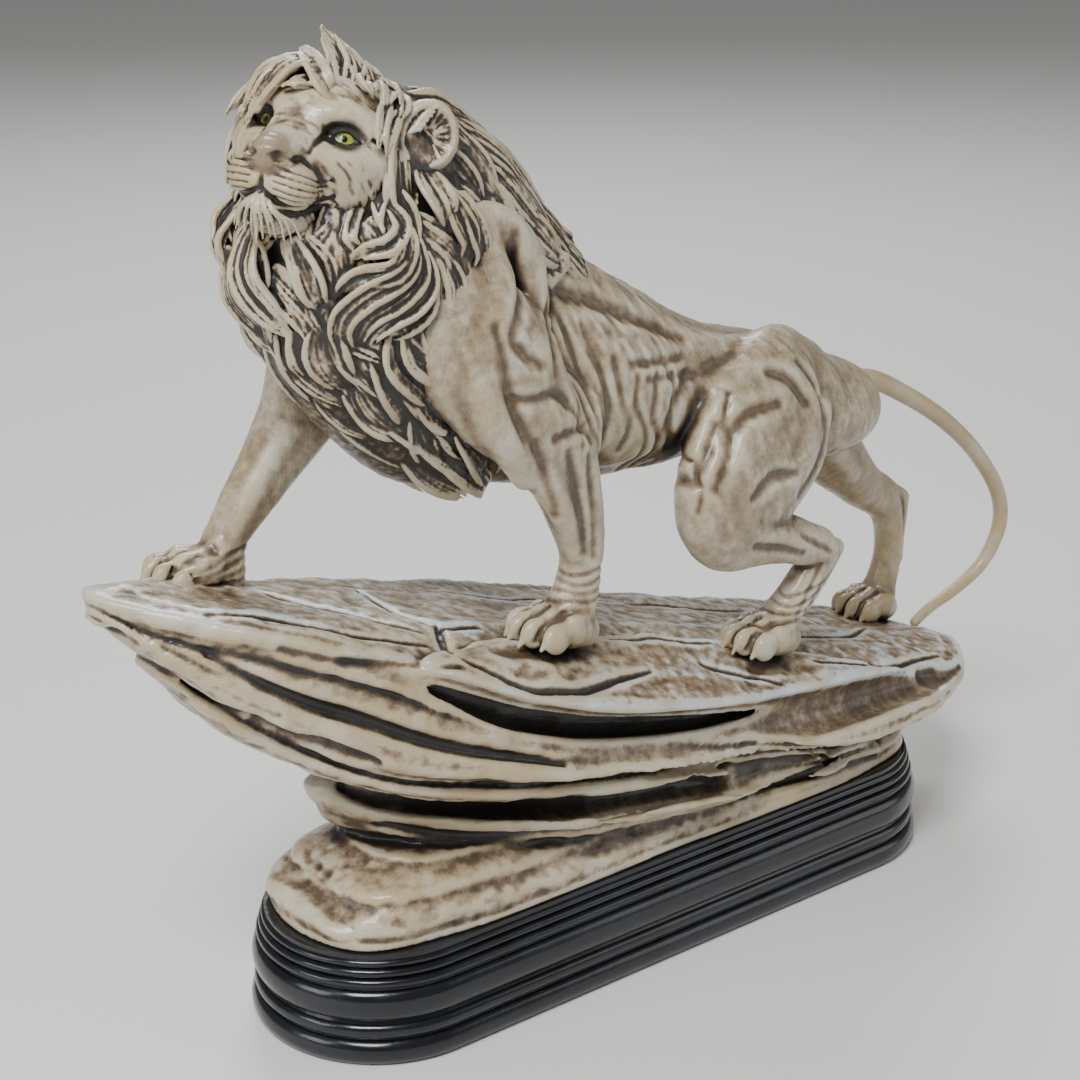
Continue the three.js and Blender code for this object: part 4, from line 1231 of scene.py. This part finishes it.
def cast(clay, name, triangles):
    """The clay's surface as a mesh object, thinned to a number of triangles."""
    grid = openvdb.FloatGrid(float(FAR))
    grid.copyFromArray(np.clip(clay.field, -FAR, FAR))
    points, quads = grid.convertToPolygons(isovalue=0.0, adaptivity=0.0)[::2]
    points, quads = largest_shell(points * clay.pitch + clay.low, quads.astype(np.int64))
    mesh = bpy.data.meshes.new(name)
    mesh.vertices.add(len(points))
    mesh.vertices.foreach_set("co", points.astype(np.float32).ravel())
    mesh.loops.add(4 * len(quads))
    mesh.loops.foreach_set("vertex_index", quads.astype(np.int32).ravel())
    mesh.polygons.add(len(quads))
    mesh.polygons.foreach_set("loop_start", np.arange(0, 4 * len(quads), 4, dtype=np.int32))
    mesh.update(calc_edges=True)
    mesh.validate()
    piece = bpy.data.objects.new(name, mesh)
    bpy.context.scene.collection.objects.link(piece)
    apply(piece, "SMOOTH", factor=0.5, iterations=1)
    apply(piece, "TRIANGULATE")
    count = len(piece.data.polygons)
    if count > triangles:
        apply(piece, "DECIMATE", ratio=triangles / count)
    piece.data.polygons.foreach_set("use_smooth", np.ones(len(piece.data.polygons), bool))
    return piece


def choose(piece):
    """Selects one piece and nothing else."""
    bpy.ops.object.select_all(action="DESELECT")
    piece.select_set(True)
    bpy.context.view_layer.objects.active = piece


def apply(piece, kind, **settings):
    """Puts a modifier on a piece and applies it."""
    choose(piece)
    modifier = piece.modifiers.new(kind.lower(), kind)
    for key, value in settings.items():
        setattr(modifier, key, value)
    bpy.ops.object.modifier_apply(modifier=modifier.name)


def coordinates(mesh):
    points = np.empty(len(mesh.vertices) * 3, np.float32)
    mesh.vertices.foreach_get("co", points)
    return points.reshape(-1, 3).astype(float)


def write_attribute(mesh, name, values):
    layer = mesh.attributes.new(name, "FLOAT", "POINT")
    layer.data.foreach_set("value", values.astype(np.float32))


def shelter_grid():
    """How full of the casting the space round each point of a coarse grid is."""
    whole = Clay(SHELTER_LOW, SHELTER_HIGH, SHELTER_PITCH)
    x, y, z = np.meshgrid(*whole.axes, indexing="ij")
    points = np.column_stack([x.ravel(), y.ravel(), z.ravel()]).astype(float)
    for clay in CLAYS.values():
        low = clay.low
        high = [axis[-1] for axis in clay.axes]
        local = (points - clay.place) @ clay.turn
        inside = np.all((local > low) & (local < high), axis=1)
        found = np.full(len(points), FAR)
        found[inside] = clay.read(local[inside])
        whole.field = np.minimum(whole.field, found.reshape(whole.field.shape).astype(np.float32))
    whole.near = blurred(whole.occupied().astype(np.float32), SHELTER_NEAR)
    whole.wide = blurred(whole.occupied().astype(np.float32), SHELTER_WIDE)
    return whole


def record_wash_shade_and_tint(piece, clay, whole, tan):
    """Writes what the antique finish reads: fine and broad hollows for the wash, shelter from the room for
    painted shade, and a tan tint that on the rock also carries its painted top highlight.
    """
    mesh = piece.data
    local = coordinates(mesh)
    filled = clay.occupied().astype(np.float32)
    fine, broad = (
        clay.read(local, blurred(filled, max(1, round(reach / clay.pitch))))
        for reach in (FINE_REACH, BROAD_REACH)
    )
    mesh.transform(Matrix.LocRotScale(Vector(clay.place), Matrix(clay.turn.tolist()), None))
    normals = np.empty(len(mesh.vertices) * 3, np.float32)
    mesh.vertex_normals.foreach_get("vector", normals)
    places = coordinates(mesh)
    outside = places + normals.reshape(-1, 3) * SHELTER_PITCH
    write_attribute(mesh, "hollow_fine", np.clip(fine - 0.5, -0.5, 0.5))
    write_attribute(mesh, "hollow_broad", np.clip(broad - 0.5, -0.5, 0.5))
    # painted shade: how closed-in the room is round each point, partly wash pooling in deep recesses, partly
    # the shade of recesses and of the gaps between pieces
    write_attribute(mesh, "shelter_near", np.clip(whole.read(outside, whole.near), 0, 1))
    # painted shade: down-facing surfaces count as more sheltered, so undersides come out darker
    beneath = np.clip(-normals[2::3] - 0.15, 0, 1)
    write_attribute(mesh, "shelter_wide", np.clip(whole.read(outside, whole.wide) + 0.3 * beneath, 0, 1))
    write_attribute(mesh, "tint_and_top_highlight", tan(*places.T))
    mesh.transform(Matrix.Scale(MM, 4))


# ---------------------------------------------------------------- materials


def node(tree, kind, inputs=None, **settings):
    made = tree.nodes.new(kind)
    for key, value in settings.items():
        setattr(made, key, value)
    for key, value in (inputs or {}).items():
        if isinstance(value, bpy.types.NodeSocket):
            tree.links.new(value, made.inputs[key])
        else:
            made.inputs[key].default_value = value
    return made


def maths(tree, operation, *values):
    made = node(tree, "ShaderNodeMath", operation=operation)
    for socket, value in zip(made.inputs, values):
        if isinstance(value, bpy.types.NodeSocket):
            tree.links.new(value, socket)
        else:
            socket.default_value = value
    return made.outputs[0]


def span(tree, value, low, high, start=0.0, stop=1.0):
    """A soft ramp from start to stop while the value goes from low to high."""
    made = node(
        tree, "ShaderNodeMapRange",
        {"Value": value, "From Min": low, "From Max": high, "To Min": start, "To Max": stop},
    )
    made.interpolation_type = "SMOOTHSTEP"
    return made.outputs["Result"]


def mixed(tree, share, first, second):
    made = node(tree, "ShaderNodeMix", data_type="RGBA")
    for key, value in ((0, share), (6, first), (7, second)):
        if isinstance(value, bpy.types.NodeSocket):
            tree.links.new(value, made.inputs[key])
        else:
            made.inputs[key].default_value = (*value, 1) if key else value
    return made.outputs[2]


def cloud(tree, place, scale, detail=4.0, roughness=0.6, distortion=0.0):
    return node(tree, "ShaderNodeTexNoise", {
        "Vector": place, "Scale": scale, "Detail": detail, "Roughness": roughness, "Distortion": distortion,
    }).outputs["Fac"]


def stretched(tree, place, turn, scale):
    return node(tree, "ShaderNodeMapping", {"Vector": place, "Rotation": turn, "Scale": scale}).outputs[0]


def reading(tree, name):
    return node(tree, "ShaderNodeAttribute", attribute_name=name, attribute_type="GEOMETRY").outputs["Fac"]


def wash_and_shade_group(finish):
    """Cream paint with a dark wash left in the hollows, painted shade in sheltered places and under overhangs,
    and a painted highlight on the rock's top: a colour, a roughness and a relief.
    """
    group = bpy.data.node_groups.new("antique_wash_and_shade", "ShaderNodeTree")
    for way, kind, names in (
        ("INPUT", "Vector", ["Place"]), ("INPUT", "Float", ["Depth", "Bias", "Cap"]),
        ("OUTPUT", "Color", ["Color"]), ("OUTPUT", "Float", ["Roughness", "Relief"]),
    ):
        for name in names:
            group.interface.new_socket(name, in_out=way, socket_type="NodeSocket" + kind)
    given = group.nodes.new("NodeGroupInput").outputs
    result = group.nodes.new("NodeGroupOutput").inputs
    place = given["Place"]
    fine, broad = reading(group, "hollow_fine"), reading(group, "hollow_broad")
    near, wide = reading(group, "shelter_near"), reading(group, "shelter_wide")
    tint = reading(group, "tint_and_top_highlight")
    mottle = cloud(group, place, 260, 4, 0.7)
    patch = cloud(group, place, 55, 2, 0.55, 0.6)
    depth = maths(group, "MULTIPLY", fine, 3.2)
    depth = maths(group, "MULTIPLY_ADD", broad, 3.0, depth)
    depth = maths(group, "MINIMUM", depth, given["Cap"])
    # painted shade: the shelter of each place deepens the wash, partly for wash settled in deep recesses,
    # partly for the shade of recesses, undersides and gaps between pieces
    for part, weight in (
        (span(group, near, *SHELTERED), 0.75), (span(group, wide, *SHELTERED), 0.7),
        (maths(group, "SUBTRACT", mottle, 0.5), 0.8), (maths(group, "SUBTRACT", patch, 0.5), 0.35),
    ):
        depth = maths(group, "MULTIPLY_ADD", part, weight, depth)
    depth = maths(group, "MULTIPLY", depth, given["Depth"])
    depth = maths(group, "ADD", depth, given["Bias"])
    paint = mixed(group, span(group, patch, 0.35, 0.7), finish.cream, finish.warm_cream)
    tanned = maths(group, "MULTIPLY", tint, span(group, patch, 0.2, 0.65, 0.45, 1.0))
    specks = span(group, cloud(group, place, 900, 2, 0.5), 0.68, 0.74)
    # where the tint is below zero the rock's top is painted bluish white, a painted highlight for the sheen of
    # its glossy surface
    for share, over in (
        (tanned, finish.ochre), (span(group, tint, 0.0, -1.0), finish.top_highlight_white),
        (span(group, depth, *TAN_SPAN), finish.tan), (span(group, depth, *UMBER_SPAN), finish.umber),
        (span(group, depth, *SOOT_SPAN), finish.soot), (maths(group, "MULTIPLY", specks, 0.5), finish.umber),
    ):
        paint = mixed(group, share, paint, over)
    group.links.new(paint, result["Color"])
    gloss = span(group, depth, 0.0, 0.9, finish.varnish_roughness, finish.varnish_roughness + 0.22)
    gloss = maths(group, "MULTIPLY_ADD", maths(group, "SUBTRACT", mottle, 0.5), 0.25, gloss)
    group.links.new(gloss, result["Roughness"])
    group.links.new(maths(group, "MULTIPLY", cloud(group, place, 620, 3, 0.6), 0.8), result["Relief"])
    return group


def fresh_material(name):
    material = bpy.data.materials.new(name)
    material.use_nodes = True
    tree = material.node_tree
    tree.nodes.clear()
    shader = node(tree, "ShaderNodeBsdfPrincipled")
    output = node(tree, "ShaderNodeOutputMaterial")
    tree.links.new(shader.outputs[0], output.inputs["Surface"])
    return material, tree, shader, node(tree, "ShaderNodeTexCoord").outputs["Object"]


def varnish(shader, weight, roughness):
    shader.inputs["Coat Weight"].default_value = weight
    shader.inputs["Coat Roughness"].default_value = roughness
    shader.inputs["IOR"].default_value = 1.5


def raised(tree, shader, height, strength, distance):
    bump = node(tree, "ShaderNodeBump", {"Height": height, "Strength": strength, "Distance": distance})
    tree.links.new(bump.outputs[0], shader.inputs["Normal"])


def washed_material(name, group, depth, bias, cap, fibre, strength):
    """The antique finish for one region.

    Fibre is the turn, the scale and the weight of the hair or grain drawn into its relief.
    """
    material, tree, shader, place = fresh_material(name)
    wash = node(tree, "ShaderNodeGroup", node_tree=group)
    for key, value in (("Depth", depth), ("Bias", bias), ("Cap", cap)):
        wash.inputs[key].default_value = value
    tree.links.new(place, wash.inputs["Place"])
    tree.links.new(wash.outputs["Color"], shader.inputs["Base Color"])
    tree.links.new(wash.outputs["Roughness"], shader.inputs["Roughness"])
    height = wash.outputs["Relief"]
    turn, scale, weight = fibre
    hairs = cloud(tree, stretched(tree, place, turn, scale), 1.0, 3, 0.6, 0.3)
    height = maths(tree, "MULTIPLY_ADD", hairs, weight, height)
    raised(tree, shader, height, strength, 0.0006)
    varnish(shader, 0.35, 0.12)
    return material, tree, shader, place


def distance_from(tree, place, point):
    made = node(tree, "ShaderNodeVectorMath", {0: place, 1: tuple(point)}, operation="DISTANCE")
    return made.outputs["Value"]


def paint_eyes(tree, shader, place, finish):
    """Yellow-green irises with a round pupil, inside dark painted rims, and a brown nose with dark nostrils."""
    colour = shader.inputs["Base Color"].links[0].from_socket
    rough = shader.inputs["Roughness"].links[0].from_socket
    nose = from_head(-23.5, 0, -10.8) * MM
    leather = span(tree, distance_from(tree, place, nose), 0.0058, 0.0092, 0.75, 0)
    colour = mixed(tree, leather, colour, finish.nose)
    for side in (NEAR, OFF):
        nostril = distance_from(tree, place, from_head(-23.9, side * 4.5, -12.5) * MM)
        colour = mixed(tree, span(tree, nostril, 0.0013, 0.0026, 0.95, 0), colour, finish.soot)
    for side in (NEAR, OFF):
        gaze, out, _, centre = eye_frame(side)
        front = from_head(*(centre + gaze * EYE_RADIUS)) * MM
        ball = from_head(*centre) * MM
        outward = Vector(HEAD_TURN @ out)
        offset = node(
            tree, "ShaderNodeVectorMath", {0: place, 1: tuple(front)}, operation="SUBTRACT",
        ).outputs[0]
        sideways = node(
            tree, "ShaderNodeVectorMath", {0: offset, 1: outward}, operation="DOT_PRODUCT",
        ).outputs["Value"]
        apart = distance_from(tree, place, front)
        wobble = maths(tree, "MULTIPLY_ADD", cloud(tree, place, 500, 2), 0.0016, apart)
        rim = span(tree, wobble, *RIM_FADE, 1, 0)
        colour = mixed(tree, maths(tree, "MULTIPLY", rim, 0.93), colour, finish.soot)
        onball = span(
            tree, distance_from(tree, place, ball), EYE_RADIUS * MM + 0.00022, EYE_RADIUS * MM + 0.0004, 1, 0,
        )
        iris = maths(tree, "MULTIPLY", span(tree, apart, *IRIS_EDGE, 1, 0), onball)
        bright = span(tree, sideways, -0.0018, 0.0022)
        rays = cloud(tree, place, 1600, 2)
        green = mixed(tree, bright, finish.iris_shade, finish.iris)
        green = mixed(tree, maths(tree, "MULTIPLY", rays, 0.35), green, finish.iris_shade)
        white = maths(tree, "MULTIPLY", span(tree, apart, 0.0026, 0.0030), onball)
        colour = mixed(tree, maths(tree, "MULTIPLY", white, 0.9), colour, finish.umber)
        colour = mixed(tree, iris, colour, green)
        limbus = maths(tree, "MULTIPLY", maths(tree, "MULTIPLY", span(tree, apart, *LIMBUS), iris), 0.85)
        colour = mixed(tree, limbus, colour, finish.soot)
        pupil = maths(tree, "MULTIPLY", span(tree, apart, *PUPIL_EDGE, 1, 0), onball)
        colour = mixed(tree, pupil, colour, (0.004, 0.004, 0.004))
        rough = maths(
            tree, "MULTIPLY", rough, maths(tree, "SUBTRACT", 1.0, maths(tree, "MULTIPLY", onball, 0.7)),
        )
    tree.links.new(colour, shader.inputs["Base Color"])
    tree.links.new(rough, shader.inputs["Roughness"])


def black_gloss(finish):
    material, tree, shader, place = fresh_material("black_gloss_lacquer")
    cloudy = cloud(tree, place, 45, 4, 0.6)
    brushed = cloud(tree, stretched(tree, place, (0, 0, 0), (25, 160, 900)), 1.0, 3, 0.55)
    dust = span(tree, cloud(tree, place, 1400, 2, 0.5), 0.7, 0.76)
    colour = mixed(tree, span(tree, cloudy, 0.35, 0.7), finish.lacquer, finish.lacquer_sheen)
    colour = mixed(tree, maths(tree, "MULTIPLY", dust, 0.12), colour, finish.tan)
    tree.links.new(colour, shader.inputs["Base Color"])
    rough = maths(tree, "MULTIPLY_ADD", brushed, 0.3, 0.08)
    tree.links.new(maths(tree, "MULTIPLY_ADD", dust, 0.2, rough), shader.inputs["Roughness"])
    waves = maths(tree, "MULTIPLY_ADD", brushed, 0.7, cloud(tree, place, 120, 3))
    raised(tree, shader, waves, 0.22, 0.0006)
    varnish(shader, 0.2, 0.08)
    return material


# ---------------------------------------------------------------- settings


def length(name, description, default):
    return bpy.props.FloatProperty(
        name=name, description=description, default=default, unit="LENGTH", precision=4,
    )


def colour(name, description, default):
    return bpy.props.FloatVectorProperty(
        name=name, description=description, default=default, subtype="COLOR", size=3, min=0, max=1,
    )


class FinishSettings(bpy.types.PropertyGroup):
    cream: colour("Cream", "Paint on the raised surfaces", (0.58, 0.54, 0.435))
    warm_cream: colour("Warm cream", "Yellower patches of the paint", (0.49, 0.42, 0.28))
    # painted highlight: this bluish white on the rock's top stands in for the sheen of its glossy top
    top_highlight_white: colour("Cool white", "Bluish white brushed over the top of the rock", (0.60, 0.66, 0.70))
    ochre: colour("Ochre", "Tint of the tail, far hind leg and rock edges", (0.42, 0.31, 0.15))
    tan: colour("Tan", "Thin wash on the slopes", (0.30, 0.225, 0.14))
    # umber and soot also lay the painted shade of sheltered places and undersides, besides the wash in the
    # hollows
    umber: colour("Umber", "Wash in the hollows", (0.098, 0.064, 0.035))
    soot: colour("Soot", "Wash in the deepest hollows and round the eyes", (0.012, 0.010, 0.008))
    nose: colour("Nose leather", "Paint on the nose", (0.22, 0.145, 0.085))
    iris: colour("Iris", "Bright side of the iris", (0.42, 0.46, 0.02))
    iris_shade: colour("Iris shade", "Dark side of the iris", (0.11, 0.15, 0.02))
    varnish_roughness: bpy.props.FloatProperty(
        name="Varnish roughness", description="Roughness of the varnished paint",
        default=0.36, min=0, max=1, subtype="FACTOR",
    )
    lacquer: colour("Lacquer", "Black of the plinth", (0.0035, 0.004, 0.006))
    lacquer_sheen: colour("Lacquer sheen", "Bluish patches of the black", (0.007, 0.010, 0.016))


class CastingSettings(bpy.types.PropertyGroup):
    body_pitch: length("Body pitch", "Grid spacing of the body's clay", 0.0008)
    head_pitch: length("Head pitch", "Grid spacing of the head's clay", 0.0004)
    mane_pitch: length("Mane pitch", "Grid spacing of the mane's clay", 0.0005)
    rock_pitch: length("Rock pitch", "Grid spacing of the rock's clay", 0.0009)
    triangles: bpy.props.IntProperty(
        name="Triangles", description="Most triangles kept in one piece", default=192000, min=10000, max=199000,
    )


class PlinthSettings(bpy.types.PropertyGroup):
    length: length("Length", "Overall length", 0.300)
    width: length("Width", "Overall width", 0.093)
    height: length("Height", "Overall height", 0.040)
    turns: bpy.props.IntProperty(
        name="Turns", description="Facets round both ends", default=98, min=12, max=400,
    )


class StageSettings(bpy.types.PropertyGroup):
    lens: bpy.props.FloatProperty(
        name="Lens", description="Focal length in millimetres", default=70, subtype="DISTANCE_CAMERA",
    )
    distance: length("Distance", "From the camera to the point it looks at", 0.810)
    azimuth: bpy.props.FloatProperty(
        name="Azimuth", description="Turn of the camera about the object",
        default=math.radians(-38), unit="ROTATION",
    )
    elevation: bpy.props.FloatProperty(
        name="Elevation", description="Height of the camera as an angle",
        default=math.radians(20), unit="ROTATION",
    )
    target: bpy.props.FloatVectorProperty(
        name="Target", description="Point the camera looks at",
        default=(0.0092, 0.0536, 0.1316), subtype="XYZ", unit="LENGTH",
    )
    backdrop: colour("Backdrop", "Floor and room", (0.78, 0.775, 0.765))


# ---------------------------------------------------------------- operators


class SculptOperator:
    bl_options = {"REGISTER", "UNDO"}


class SCULPTURE_OT_rock(SculptOperator, bpy.types.Operator):
    """Model the bedded rock ledge and the mound under it"""

    bl_idname = "sculpture.rock"
    bl_label = "Rock ledge"

    def execute(self, context):
        settings = context.scene.lion_casting
        CLAYS["rock_ledge"] = clay = rock_clay(settings.rock_pitch / MM)
        cast(clay, "rock_ledge", settings.triangles)
        return {"FINISHED"}


class SCULPTURE_OT_body(SculptOperator, bpy.types.Operator):
    """Model the lion's trunk, legs, paws and tail"""

    bl_idname = "sculpture.body"
    bl_label = "Body"

    def execute(self, context):
        settings = context.scene.lion_casting
        CLAYS["lion_body"] = clay = body_clay(settings.body_pitch / MM)
        cast(clay, "lion_body", settings.triangles)
        return {"FINISHED"}


class SCULPTURE_OT_head(SculptOperator, bpy.types.Operator):
    """Model the lion's face and ears"""

    bl_idname = "sculpture.head"
    bl_label = "Head"

    def execute(self, context):
        settings = context.scene.lion_casting
        CLAYS["lion_head"] = clay = head_clay(settings.head_pitch / MM)
        cast(clay, "lion_head", settings.triangles)
        return {"FINISHED"}


class SCULPTURE_OT_mane(SculptOperator, bpy.types.Operator):
    """Model the mane, lock by lock"""

    bl_idname = "sculpture.mane"
    bl_label = "Mane"

    def execute(self, context):
        settings = context.scene.lion_casting
        CLAYS["lion_mane"] = clay = mane_clay(settings.mane_pitch / MM)
        cast(clay, "lion_mane", settings.triangles)
        return {"FINISHED"}


class SCULPTURE_OT_finish(SculptOperator, bpy.types.Operator):
    """Wash and varnish the casting, paint the eyes, and lay painted shade in its sheltered places and a painted
    highlight on the rock's top
    """

    bl_idname = "sculpture.finish"
    bl_label = "Antiqued finish"

    def execute(self, context):
        finish = context.scene.lion_finish
        whole = shelter_grid()
        group = wash_and_shade_group(finish)
        fur_turn = (0, math.radians(-22), 0)

        def rock_tint_and_top_highlight(x, y, z):
            # painted highlight: the top few millimetres of the rock are lightened towards bluish white, the
            # sheen of the glossy top painted in
            brushed = ease(7, 2, ledge_top(x, y) - z) * (0.55 + 0.4 * grain(x / 16, y / 10, z / 10, 52))
            return 0.2 + 0.5 * ease(-0.3, 0.5, grain(x / 30, y / 30, z / 14, 51)) - 1.5 * brushed

        def body_tan(x, y, z):
            far_leg = ease(96, 118, x) * 0.85
            paws = 0.35 * ease(14, 2, z - ground(x))
            return np.clip(np.maximum(far_leg, 0.12 + paws), 0, 1)

        def face_tan(x, y, z):
            """Pale brow and bridge, browner muzzle and jaw."""
            back, _, high = ((np.column_stack([x, y, z]) - HEAD_CENTRE) @ HEAD_TURN).T
            return 0.12 + 0.55 * ease(-6, -15, high) * ease(2, -12, back) * ease(
                -27, -22, high,
            ) + 0.25 * ease(-8, -20, high) * ease(-12, 0, back)

        looks = {
            "rock_ledge": (rock_tint_and_top_highlight, 1.45, 0.3, 0.6, ((0, math.radians(16), 0), (40, 220, 900), 0.8), 0.55),
            "lion_body": (body_tan, 0.9, 0.32, 0.32, (fur_turn, (900, 700, 110), 1.2), 0.45),
            "lion_head": (face_tan, 1.8, 0.22, 0.55, ((0, 0, 0.5), (260, 900, 900), 0.8), 0.4),
            "lion_mane": (
                lambda x, y, z: 0.35 + 0 * x, 2.4, 0.86, 2.0, ((0, 0, 0), (1200, 1200, 260), 1.0), 0.5,
            ),
        }
        for name, (tan, depth, bias, cap, fibre, strength) in looks.items():
            piece = bpy.data.objects[name]
            record_wash_shade_and_tint(piece, CLAYS[name], whole, tan)
            material, tree, shader, place = washed_material(
                "antiqued_" + name, group, depth, bias, cap, fibre, strength,
            )
            if name == "lion_head":
                paint_eyes(tree, shader, place, finish)
            piece.data.materials.append(material)
            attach(piece, "root")
            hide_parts("lion_on_rock_ledge")
        return {"FINISHED"}


class SCULPTURE_OT_plinth(SculptOperator, bpy.types.Operator):
    """Turn the plinth's beaded moulding and draw it out into an oval"""

    bl_idname = "sculpture.plinth"
    bl_label = "Moulded plinth"

    def execute(self, context):
        sizes = context.scene.lion_plinth
        radius = sizes.width / 2

        def bead(low, high, inset, bulge, steps):
            for step in range(steps + 1):
                angle = math.pi * step / steps
                yield (
                    radius - (inset + bulge - bulge * math.sin(angle)) * MM,
                    ((low + high) / 2 - (high - low) / 2 * math.cos(angle)) * MM,
                )

        outline = [
            (0, 0), *bead(0, 9, 0, 3, 12), *bead(9.6, 15, 1.2, 2, 9), *bead(16.2, 27.6, 0.8, 3, 14),
            *bead(28.6, 31.8, 2.4, 1.4, 7),
            *bead(32.2, 35.2, 3.4, 1.4, 7), *bead(35.6, 38.2, 4.4, 1.2, 7), (radius - 5.6 * MM, sizes.height),
            (0, sizes.height),
        ]
        bpy.ops.object.select_all(action="DESELECT")
        bpy.ops.mesh.primitive_plane_add(size=MM, location=(0, 0, 0))
        piece = context.active_object
        piece.name = piece.data.name = "moulded_plinth"
        bpy.ops.object.mode_set(mode="EDIT")
        bpy.ops.mesh.select_all(action="SELECT")
        bpy.ops.mesh.merge(type="CENTER")
        for before, after in zip(outline, outline[1:]):
            step = (after[0] - before[0], 0, after[1] - before[1])
            bpy.ops.mesh.extrude_region_move(TRANSFORM_OT_translate={"value": step})
        bpy.ops.mesh.select_all(action="SELECT")
        bpy.ops.mesh.spin(steps=sizes.turns, angle=math.tau, center=(0, 0, 0), axis=(0, 0, 1))
        bpy.ops.mesh.select_all(action="SELECT")
        bpy.ops.mesh.remove_doubles(threshold=1e-6)
        bpy.ops.mesh.select_mode(type="VERT")
        for way in (-1, 1):
            bpy.ops.mesh.select_all(action="DESELECT")
            bpy.ops.object.mode_set(mode="OBJECT")
            for vertex in piece.data.vertices:
                vertex.select = vertex.co.x * way > 1e-5
            bpy.ops.object.mode_set(mode="EDIT")
            bpy.ops.transform.translate(value=(way * (sizes.length - sizes.width) / 2, 0, 0))
        bpy.ops.mesh.select_all(action="SELECT")
        bpy.ops.mesh.normals_make_consistent(inside=False)
        bpy.ops.object.mode_set(mode="OBJECT")
        choose(piece)
        bpy.ops.object.shade_smooth_by_angle(angle=math.radians(40))
        piece.data.materials.clear()
        piece.data.materials.append(black_gloss(context.scene.lion_finish))
        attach(piece, "root")
        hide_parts("plinth")
        return {"FINISHED"}


class SCULPTURE_OT_stage(SculptOperator, bpy.types.Operator):
    """Set a pale floor, soft studio light and the camera"""

    bl_idname = "sculpture.stage"
    bl_label = "Floor, light and camera"

    def execute(self, context):
        sizes = context.scene.lion_stage
        target = Vector(sizes.target)
        back = Vector((
            math.sin(sizes.azimuth) * math.cos(sizes.elevation),
            -math.cos(sizes.azimuth) * math.cos(sizes.elevation),
            math.sin(sizes.elevation),
        ))
        bpy.ops.object.camera_add(location=target + back * sizes.distance)
        camera = context.active_object
        camera.name = "camera"
        camera.rotation_euler = (-back).to_track_quat("-Z", "Y").to_euler()
        camera.data.lens = sizes.lens
        camera.data.sensor_width = 36
        camera.data.clip_start = 0.01
        context.scene.camera = camera

        bpy.ops.mesh.primitive_plane_add(size=12, location=(0, 0, -0.0002))
        floor = context.active_object
        floor.name = "floor"
        material, _, shader, _ = fresh_material("pale_floor")
        shader.inputs["Base Color"].default_value = (*sizes.backdrop, 1)
        shader.inputs["Roughness"].default_value = 0.6
        floor.data.materials.append(material)

        for name, place, power, size in (
            ("key_light", (-1.0, -0.7, 1.7), 40, 0.7),
            ("fill_light", (1.4, -1.2, 0.8), 7, 1.2),
            ("back_light", (0.8, 1.2, 1.5), 20, 0.8),
            ("face_light", (-1.5, 0.1, 0.7), 7, 0.7),
        ):
            bpy.ops.object.light_add(type="AREA", location=place)
            lamp = context.active_object
            lamp.name = name
            lamp.data.energy = power
            lamp.data.size = size
            lamp.rotation_euler = (Vector((0, 0, 0.17)) - Vector(place)).to_track_quat("-Z", "Y").to_euler()
        world = bpy.data.worlds.new("room")
        world.use_nodes = True
        world.node_tree.nodes["Background"].inputs["Color"].default_value = (*sizes.backdrop, 1)
        world.node_tree.nodes["Background"].inputs["Strength"].default_value = 0.27
        context.scene.world = world
        return {"FINISHED"}


class SCULPTURE_PT_panel(bpy.types.Panel):
    """The sculpture's pieces in the order they are made"""

    bl_idname = "SCULPTURE_PT_panel"
    bl_label = "Lion on a rock ledge"
    bl_space_type = "VIEW_3D"
    bl_region_type = "UI"
    bl_category = "Lion"

    def draw(self, context):
        column = self.layout.column(align=True)
        for operator in OPERATORS:
            column.operator(operator.bl_idname)


OPERATORS = (
    SCULPTURE_OT_rock, SCULPTURE_OT_body, SCULPTURE_OT_head, SCULPTURE_OT_mane, SCULPTURE_OT_finish,
    SCULPTURE_OT_plinth, SCULPTURE_OT_stage,
)
SETTINGS = {
    "lion_finish": FinishSettings, "lion_casting": CastingSettings, "lion_plinth": PlinthSettings,
    "lion_stage": StageSettings,
}


def register():
    for kind in (*SETTINGS.values(), *OPERATORS, SCULPTURE_PT_panel):
        bpy.utils.register_class(kind)
    for name, kind in SETTINGS.items():
        setattr(bpy.types.Scene, name, bpy.props.PointerProperty(type=kind))


def unregister():
    for name in SETTINGS:
        delattr(bpy.types.Scene, name)
    for kind in reversed((*SETTINGS.values(), *OPERATORS, SCULPTURE_PT_panel)):
        bpy.utils.unregister_class(kind)


def main():
    register()
    for operator in OPERATORS:
        getattr(bpy.ops.sculpture, operator.bl_idname.split(".")[1])()


if __name__ == "__main__":
    main()
